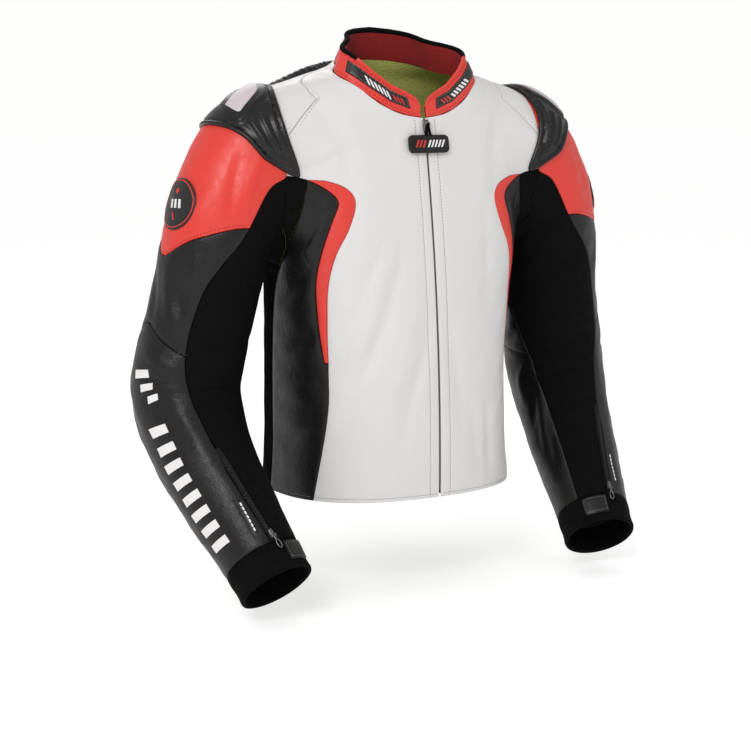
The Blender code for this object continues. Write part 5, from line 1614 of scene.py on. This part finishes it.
def cuff_zips():
    """Tape and two rows of teeth in the slot beside the forearm's seam."""
    inner_edge = ZIP_SLOT - 0.8
    d = np.linspace(CUFF_ZIP_TOP - 0.013, CUFF_TOP - 0.001, 30)
    middle = smooth_table([p[0] for p in SLEEVE_SEAM], [p[1] for p in SLEEVE_SEAM], d)
    left, right = np.stack([middle - inner_edge, d], -1), np.stack([middle + inner_edge, d], -1)
    lines = [left, [left[-1], right[-1]], right[::-1], [right[0], left[0]]]
    sheet = Sheet(lines, SLEEVE, spacing=0.003, roll=0.0003, sink=0.0)
    for side in (1, -1):
        pile = Pile()
        sheet.add_to(pile, side, TAPE, None, depth=0.0008, thickness=0.0012)
        for k, at in enumerate(np.arange(CUFF_ZIP_TOP + 0.004, CUFF_TOP - 0.004, 0.0022)):
            turn = float(np.interp(at, d, middle))
            point, outward, down, sideways = arm_frame(turn, at)
            shift = 0.0009 if k % 2 else -0.0009
            add_block(pile, (shift - 0.0016, -0.0007, -0.0008), (shift + 0.0016, 0.0007, 0.0006),
                      lambda a, b, c: point + a * sideways + b * down + c * outward, CUFF_TEETH, 0.0002)
        attach_side(pile, "cuff_zip_teeth", "forearm", side, "cuff_zip")


def cuff_tabs():
    outline = [[(TAB_TURN, TAB_D[0]), (TAB_TURN, TAB_D[1])],
               smooth([(TAB_TURN, TAB_D[1]), (TAB_END - 5, TAB_D[1]), (TAB_END, TAB_D[1] - 0.005),
                       (TAB_END, TAB_D[0] + 0.005), (TAB_END - 5, TAB_D[0]), (TAB_TURN, TAB_D[0])])]
    flat = flat_loop(outline, SLEEVE, 0.0036, 0.003)
    border = np.vstack([flat, flat[:1]])

    def shape(flat, point, away):
        return 0.0006 * (1 - np.exp(-(away / 0.003) ** 2))

    sheet = Sheet(outline, SLEEVE, spacing=0.0026, edge=0.0026, rows=[border], roll=0.0009, sink=0.0,
                  shape=shape)
    for side in (1, -1):
        pile = Pile()
        sheet.add_to(pile, side, BLACK, BACKING, depth=-0.0028, thickness=0.0018)
        sheet.add_stitches(pile, side, GREY_THREAD, depth=-0.0028)
        attach_side(pile, "cuff_tab_leather", "cuff_tab", side, "cuff_tab")


# ---------------------------------------------------------------- shoulder cups and badges
CUP_BASE = 0.0045         # height of the cup's rim above the skin
CUP_SEEN = np.array([0.497, -0.855, 0.146])   # the cup's outlines are as seen from this side
PAD_EDGE = ((-0.0051, -0.0194), (-0.0383, -0.0236), (-0.0425, -0.0148), (-0.0402, -0.0018), (-0.0266, 0.0319),
            (-0.0028, 0.0484), (0.0105, 0.0520), (0.0150, 0.0450), (0.0170, 0.0200), (0.0110, -0.0100))
CUP_RIBS = (((-0.0396, 0.0254), (-0.0755, -0.0063)), ((-0.0512, 0.0020), (-0.0738, -0.0139)),
            ((-0.0496, -0.0131), (-0.0722, -0.0224)))


def powers(uv):
    """Terms of a smooth height field over a cup's plane."""
    a, b = (uv / 0.06).T
    return np.stack([a ** i * b ** j for i in range(5) for j in range(5 - i)], -1)


def dome_chart(chart, outline):
    """Chart of a smooth dome close to the skin inside the outline, for a shell that stands on it."""
    low, high = outline.min(0), outline.max(0)
    steps = [np.arange(low[k], high[k], 0.004) for k in (0, 1)]
    grid = np.stack([axis.ravel() for axis in np.meshgrid(*steps)], -1)
    grid = grid[inside_loops(grid, [outline])]
    heights = (chart.point(grid) - chart.origin) @ chart.facing
    terms = np.linalg.lstsq(powers(grid), heights, rcond=None)[0]

    def point(uv):
        return (chart.origin + uv[:, :1] * chart.across + uv[:, 1:] * chart.upward
                + (powers(uv) @ terms)[:, None] * chart.facing)

    def normal(uv, points):
        step = 0.001
        a = point(uv + [step, 0]) - point(uv - [step, 0])
        b = point(uv + [0, step]) - point(uv - [0, step])
        out = np.cross(a, b)
        return out / np.linalg.norm(out, axis=1, keepdims=True)

    return Chart(point, lambda uv: uv, lambda xy: xy, normal)


def raised(points, height):
    """Where outlines seen against the skin lie on a shell that stands this far above it."""
    points = np.asarray(points, float)
    normal = skin_normal(points)
    facing = (normal @ CUP_SEEN)[:, None]
    share = np.clip((facing - 0.10) / 0.30, 0, 1)
    return points + share * height * (CUP_SEEN / np.maximum(facing, 0.40) - normal)


def cups():
    under = local_chart(CUP_ORIGIN, CUP_NORMAL, CUP_UP)
    plane = local_chart(CUP_ORIGIN, CUP_FACING, CUP_UP)
    outline = plane.of(raised(cup_outline(), 0.0040))
    closed = smooth(np.vstack([outline, outline[:1]]))
    chart = dome_chart(plane, closed)
    pad = plane.of(raised(under.point(smooth(PAD_EDGE + PAD_EDGE[:1])), 0.0080))
    rib_lines = [plane.of(raised(under.point(np.array(rib)), 0.0065)) for rib in CUP_RIBS]

    def shape(flat, point, away):
        rim = 0.0026 * np.sqrt(np.clip(1 - ((away - 0.0026) / 0.0026) ** 2, 0, 1)) - 0.0022
        groove = -0.0024 * np.exp(-((away - 0.0066) / 0.0013) ** 2)
        body = 0.0022 * (1 - np.exp(-(np.maximum(away - 0.006, 0) / 0.014) ** 2))
        gap = distance(flat, pad[:-1], pad[1:]) * np.where(inside_loops(flat, [pad[:-1]]), 1, -1)
        plateau = 0.0024 * np.clip(gap / 0.0028 + 0.5, 0, 1)
        lip = 0.0009 * np.exp(-((gap - 0.0030) / 0.0012) ** 2)
        ribs = 0.0
        for rib in rib_lines:
            ribs = np.maximum(ribs, 0.0030 * np.exp(-(distance(flat, rib[:1], rib[1:]) / 0.0027) ** 4))
        return np.where(away < 0.0052, rim, 0) + groove + (body + plateau + lip + ribs) * (away > 0.0052)

    sheet = Sheet([closed], chart, spacing=0.0021, edge=0.0026, shape=shape, roll=0.0, sink=0.0)
    inlay = plane.of(raised(INSERT_POINTS, 0.0090))
    insert = smooth(np.vstack([inlay, inlay[:1]]))

    def crowned(flat, point, away):
        return 0.0010 * (1 - np.exp(-(away / 0.004) ** 2))

    top = Sheet([insert], chart, spacing=0.003, edge=0.0026, roll=0.0009, sink=0.0, shape=crowned)
    armour = under.of(cup_outline(0.74)) + [0.0, -0.004]
    for side in (1, -1):
        tag = side_name(side)
        pile = Pile()
        sheet.add_to(pile, side, SHELL, None, depth=-CUP_BASE, thickness=0.0040)
        attach_side(pile, "moulded_cup", "upper_sleeve", side, "shoulder_cup", 60)
        pile = Pile()
        top.add_to(pile, side, INSERT, None, depth=-(CUP_BASE + 0.0054), thickness=0.0016)
        attach_side(pile, "cup_inlay", "upper_sleeve", side, "cup_insert")
        pad_piece("shoulder_pad" + tag, [np.vstack([armour, armour[:1]])], under, "upper_sleeve", side,
                  "shoulder_armour" + tag, 0.0098, 0.0050)


def circle(radius, count=48):
    turn = np.linspace(0, 2 * math.pi, count + 1)
    return radius * np.stack([np.cos(turn), np.sin(turn)], -1)


def badges():
    chart = local_chart(BADGE_CENTRE, BADGE_NORMAL, (0, 0, 1))
    disc = Sheet([circle(BADGE_RADIUS)], chart, spacing=0.003, edge=0.0032, roll=0.0010, sink=0.0)
    band = Sheet([circle(BADGE_RADIUS - 0.0026)], chart, spacing=0.002, edge=0.003, roll=0.0003, sink=0.0,
                 holes=(circle(BADGE_RADIUS - 0.0040),), hole_gap=0.0)
    bars = [((x - 0.0022, -0.0055), (x + 0.0018, -0.0055), (x + 0.0042, 0.0055), (x + 0.0002, 0.0055))
            for x in (-0.0100, -0.0020, 0.0060)]
    dot = ((0.0000, 0.0120), (0.0040, 0.0160), (0.0000, 0.0200), (-0.0040, 0.0160))
    low_mark = ((0.0030, -0.0105), (0.0010, -0.0105), (-0.0035, -0.0205), (-0.0010, -0.0205))
    for side in (1, -1):
        pile = Pile()
        disc.add_to(pile, side, RUBBER, None, depth=-0.0028, thickness=0.0016)
        band.add_to(pile, side, RED_PRINT, None, depth=-0.0033, thickness=0.0008)
        add_print(pile, disc, bars, side, WHITE_PRINT, depth=-0.0028, spacing=0.003)
        add_print(pile, disc, [dot, low_mark], side, RED_PRINT, depth=-0.0028, spacing=0.003)
        attach_side(pile, "round_badge", "upper_sleeve", side, "sleeve_badge")


def elbow_ball():
    """Chart of the ball inside the elbow: (turn, polar angle) in degrees to a point on it."""
    centre, outward, forward = (v[0] for v in sleeve_frame(np.array([ELBOW_AT])))
    down = np.cross(outward, forward)
    tilt = math.radians(14)
    axis = down * math.cos(tilt) + forward * math.sin(tilt)
    side_way = np.cross(forward, axis)
    side_way /= np.linalg.norm(side_way)
    front_way = np.cross(axis, side_way)
    radius = ELBOW_BALL - 0.0042

    def normal(uv, points):
        turn, polar = np.radians(uv).T[:, :, None]
        return np.cos(polar) * axis + np.sin(polar) * (np.cos(turn) * side_way + np.sin(turn) * front_way)

    scale = math.radians(1) * radius
    return Chart(lambda uv: centre + radius * normal(uv, None),
                 lambda uv: uv * scale, lambda xy: xy / scale, normal)


def elbow_armour():
    """Elbow pads under the leather, rounded and dimpled."""
    corners = [(-52, 88), (-40, 60), (0, 52), (40, 60), (52, 88), (40, 112), (0, 118), (-40, 112), (-52, 88)]
    outline = smooth(corners) + [ARMOUR_TURN, 0]
    for side in (1, -1):
        pad_piece("elbow_pad" + side_name(side), [outline], elbow_ball(), "forearm", side,
                  "elbow_armour" + side_name(side), 0.0008, 0.0045, swell=0.0006)


# ---------------------------------------------------------------- sliders and pulls
def front_slider():
    top = ZIP_TOP - SLIDER_DROP

    def place_point(a, b, c):
        return front_frame(a, top - b, -c)

    pile = Pile()
    add_block(pile, (-0.0042, 0.0, 0.0010), (0.0042, 0.016, 0.0032), place_point, METAL, 0.0010)
    add_block(pile, (-0.0009, 0.001, -0.0056), (0.0009, 0.007, 0.0014), place_point, METAL)
    add_block(pile, (-0.0042, 0.0, -0.0065), (0.0042, 0.015, -0.0054), place_point, METAL, 0.0003)
    for x in (-0.0038, 0.0026):
        add_block(pile, (x, EAR_DROP - 0.0022, 0.0028), (x + 0.0012, EAR_DROP + 0.0022, EAR_PROUD + 0.0016),
                  place_point, METAL, 0.0003)
    attach(pile.make("front_slider"), "zip_slider", 1, "zip_slider")


def front_pull():
    """Cord loop and padded grip with a bevelled border and plain slanted marks."""
    pivot = ZIP_TOP - SLIDER_DROP - EAR_DROP
    wide, tall = PULL_GRIP
    middle = pivot - PULL_STEM - tall / 2
    outline = np.array(rounded_box(wide, tall, 0.006, 5)) + [0, middle]
    closed = np.vstack([outline, outline[:1]])
    flat = flat_loop([closed], FRONT, 0.0028, 0.003)
    border = np.vstack([flat, flat[:1]])

    def puffed(flat, point, away):
        return 0.0014 * (1 - np.exp(-(np.maximum(away - 0.0028, 0) / 0.003) ** 2))

    sheet = Sheet([closed], FRONT, spacing=0.0028, edge=0.0028, rows=[border], roll=0.0011, sink=0.0,
                  shape=puffed)
    lift = EAR_PROUD + 0.0014
    pile = Pile()
    sheet.add_to(pile, 1, BLACK, None, depth=-lift, thickness=0.0034)
    sheet.add_stitches(pile, 1, DARK_THREAD, depth=-lift)
    low, high = middle - 0.0045, middle + 0.0045
    for first, last, count, paint in ((-0.0190, -0.0085, 3, RED_PRINT), (-0.0010, 0.0190, 5, WHITE_PRINT)):
        bars = slanted_bars(first, last, low, high, count, 0.0024, 0.0040)
        add_print(pile, sheet, bars, 1, paint, depth=-lift)
    for x_top, x_low in ((-0.0011, -0.0030), (0.0011, 0.0030)):
        z = np.linspace(pivot + 0.0006, pivot - PULL_STEM - 0.002, 12)
        share = np.linspace(0, 1, 12)
        path = [front_frame(x_top + (x_low - x_top) * s, height, -EAR_PROUD) for s, height in zip(share, z)]
        radius = np.interp(share, (0, 0.2, 1), (0.0010, 0.0013, 0.0022))
        add_sweep(pile, path, radius, STRETCH, turns=8, up=(0, 1, 0))
    attach(pile.make("front_pull"), "zip_pull", 1, "zip_pull")


def cuff_sliders():
    low, high = sleeve_point(np.array([(CUFF_SLIDER_ANGLE_LOW, CUFF_TOP - 0.010),
                                       (CUFF_SLIDER_ANGLE_HIGH, CUFF_ZIP_TOP + 0.006)]))
    _, outward, _, _ = arm_frame(CUFF_SLIDER_ANGLE_LOW, CUFF_TOP - 0.010)
    up = (high - low) / np.linalg.norm(high - low)
    outward = outward - (outward @ up) * up
    outward /= np.linalg.norm(outward)
    across = np.cross(up, outward)

    def place_point(a, b, c):
        return low + a * across + b * up + c * outward

    for side in (1, -1):
        pile = Pile()
        add_block(pile, (-0.0028, -0.006, 0.0012), (0.0028, 0.006, 0.0036), place_point, METAL, 0.0008)
        for x in (-0.0026, 0.0018):
            add_block(pile, (x, -0.006, 0.0030), (x + 0.0008, -0.002, 0.0056), place_point, METAL, 0.0002)
        attach_side(pile, "wrist_slider", "cuff_slider", side, "cuff_slider")
        pile = Pile()
        add_block(pile, (-0.0014, -0.0110, 0.0040), (0.0014, -0.0034, 0.0052), place_point, METAL, 0.0003)
        loop = np.radians(np.linspace(0, 360, 25)[:-1])
        path = [place_point(0.0026 * math.cos(t), -0.0160 + 0.0058 * math.sin(t), 0.0046) for t in loop]
        add_sweep(pile, path, 0.0009, METAL, turns=8, closed=True, up=tuple(outward))
        attach_side(pile, "wrist_pull", "cuff_pull", side, "cuff_pull")


# ---------------------------------------------------------------- floor, light and camera
TARGET = np.array([0.0, 0.0, -0.4])
AZIMUTH, ELEVATION, ROLL = -30.2, 8.4, -0.55
CAMERA_AWAY = 2.35
AIM_OFF = (0.0298, 0.0128)      # how far the view's middle lies from the target, sideways and up
FOCAL = 83.98
FLOOR_Z = -0.690
ROOM_LIGHT = 0.62         # even light from all round


def add_camera():
    azimuth, elevation, roll = (math.radians(a) for a in (AZIMUTH, ELEVATION, ROLL))
    back = np.array([math.sin(azimuth) * math.cos(elevation), -math.cos(azimuth) * math.cos(elevation),
                     math.sin(elevation)])
    right = np.array([math.cos(azimuth), math.sin(azimuth), 0.0])
    up = np.cross(back, right)
    right, up = (math.cos(roll) * right + math.sin(roll) * up, math.cos(roll) * up - math.sin(roll) * right)
    eye = TARGET + CAMERA_AWAY * back - (AIM_OFF[0] * right + AIM_OFF[1] * up)
    camera = bpy.data.objects.new("camera", bpy.data.cameras.new("camera"))
    camera.data.lens = FOCAL
    camera.data.sensor_width = 36
    matrix = Matrix.Identity(4)
    for k in range(3):
        matrix[k][0], matrix[k][1], matrix[k][2], matrix[k][3] = right[k], up[k], back[k], eye[k]
    camera.matrix_world = matrix
    bpy.context.scene.collection.objects.link(camera)
    bpy.context.scene.camera = camera


def add_light(name, place, size, power, colour=(1, 1, 1)):
    lamp = bpy.data.lights.new(name, "AREA")
    lamp.size = size
    lamp.energy = power
    lamp.color = colour
    obj = bpy.data.objects.new(name, lamp)
    place = np.array(place, float)
    way = Matrix.Identity(3)
    back = (place - TARGET) / np.linalg.norm(place - TARGET)
    right = np.cross((0, 0, 1), back)
    right /= np.linalg.norm(right)
    up = np.cross(back, right)
    for k in range(3):
        way[k][0], way[k][1], way[k][2] = right[k], up[k], back[k]
    obj.matrix_world = Matrix.Translation(place) @ way.to_4x4()
    bpy.context.scene.collection.objects.link(obj)


def seen_level(tree, lit, seen, socket):
    """Feed a socket one level for the light that it gives and another for how it looks itself."""
    level_of = tree.nodes.new("ShaderNodeMapRange")
    level_of.inputs["To Min"].default_value = lit
    level_of.inputs["To Max"].default_value = seen
    tree.links.new(tree.nodes.new("ShaderNodeLightPath").outputs["Is Camera Ray"], level_of.inputs["Value"])
    tree.links.new(level_of.outputs["Result"], socket)


def add_studio():
    world = bpy.data.worlds.new("studio")
    bpy.context.scene.world = world
    world.use_nodes = True
    backdrop = world.node_tree.nodes["Background"]
    backdrop.inputs["Color"].default_value = (1.0, 0.995, 0.99, 1)
    seen_level(world.node_tree, ROOM_LIGHT, 1.0, backdrop.inputs["Strength"])
    mesh = bpy.data.meshes.new("floor")
    wide = 60.0
    corners = [(x * wide, y * wide, FLOOR_Z) for x, y in ((-1, -1), (1, -1), (1, 1), (-1, 1))]
    mesh.from_pydata(corners, [], [(0, 1, 2, 3)])
    pale = look("pale_floor", (0.92, 0.92, 0.92), 0.6, (), 0.01, specular=0.2)
    shader = pale.node_tree.nodes["Principled BSDF"]
    shader.inputs["Emission Color"].default_value = (1, 1, 1, 1)
    seen_level(pale.node_tree, 0.15, 0.42, shader.inputs["Emission Strength"])
    mesh.materials.append(pale)
    floor = bpy.data.objects.new("floor", mesh)
    bpy.context.scene.collection.objects.link(floor)
    add_light("key", (-2.1, -1.9, 1.4), 1.2, 42)
    add_light("fill", (1.9, -1.6, 0.6), 1.2, 4, (1.0, 0.90, 0.93))
    add_light("rim", (0.6, 2.2, 1.4), 1.2, 10)
    bpy.context.scene.view_settings.view_transform = "Standard"


def build():
    front_sheets()
    side_sheets()
    back_sheets()
    collar_sheets()
    zip_halves()
    storm_flap()
    lining()
    back_protector()
    waist_zip()
    upper_sleeves()
    forearms()
    cuffs()
    cuff_zips()
    cuff_tabs()
    cups()
    badges()
    elbow_armour()
    front_slider()
    front_pull()
    cuff_sliders()
    add_camera()
    add_studio()


build()
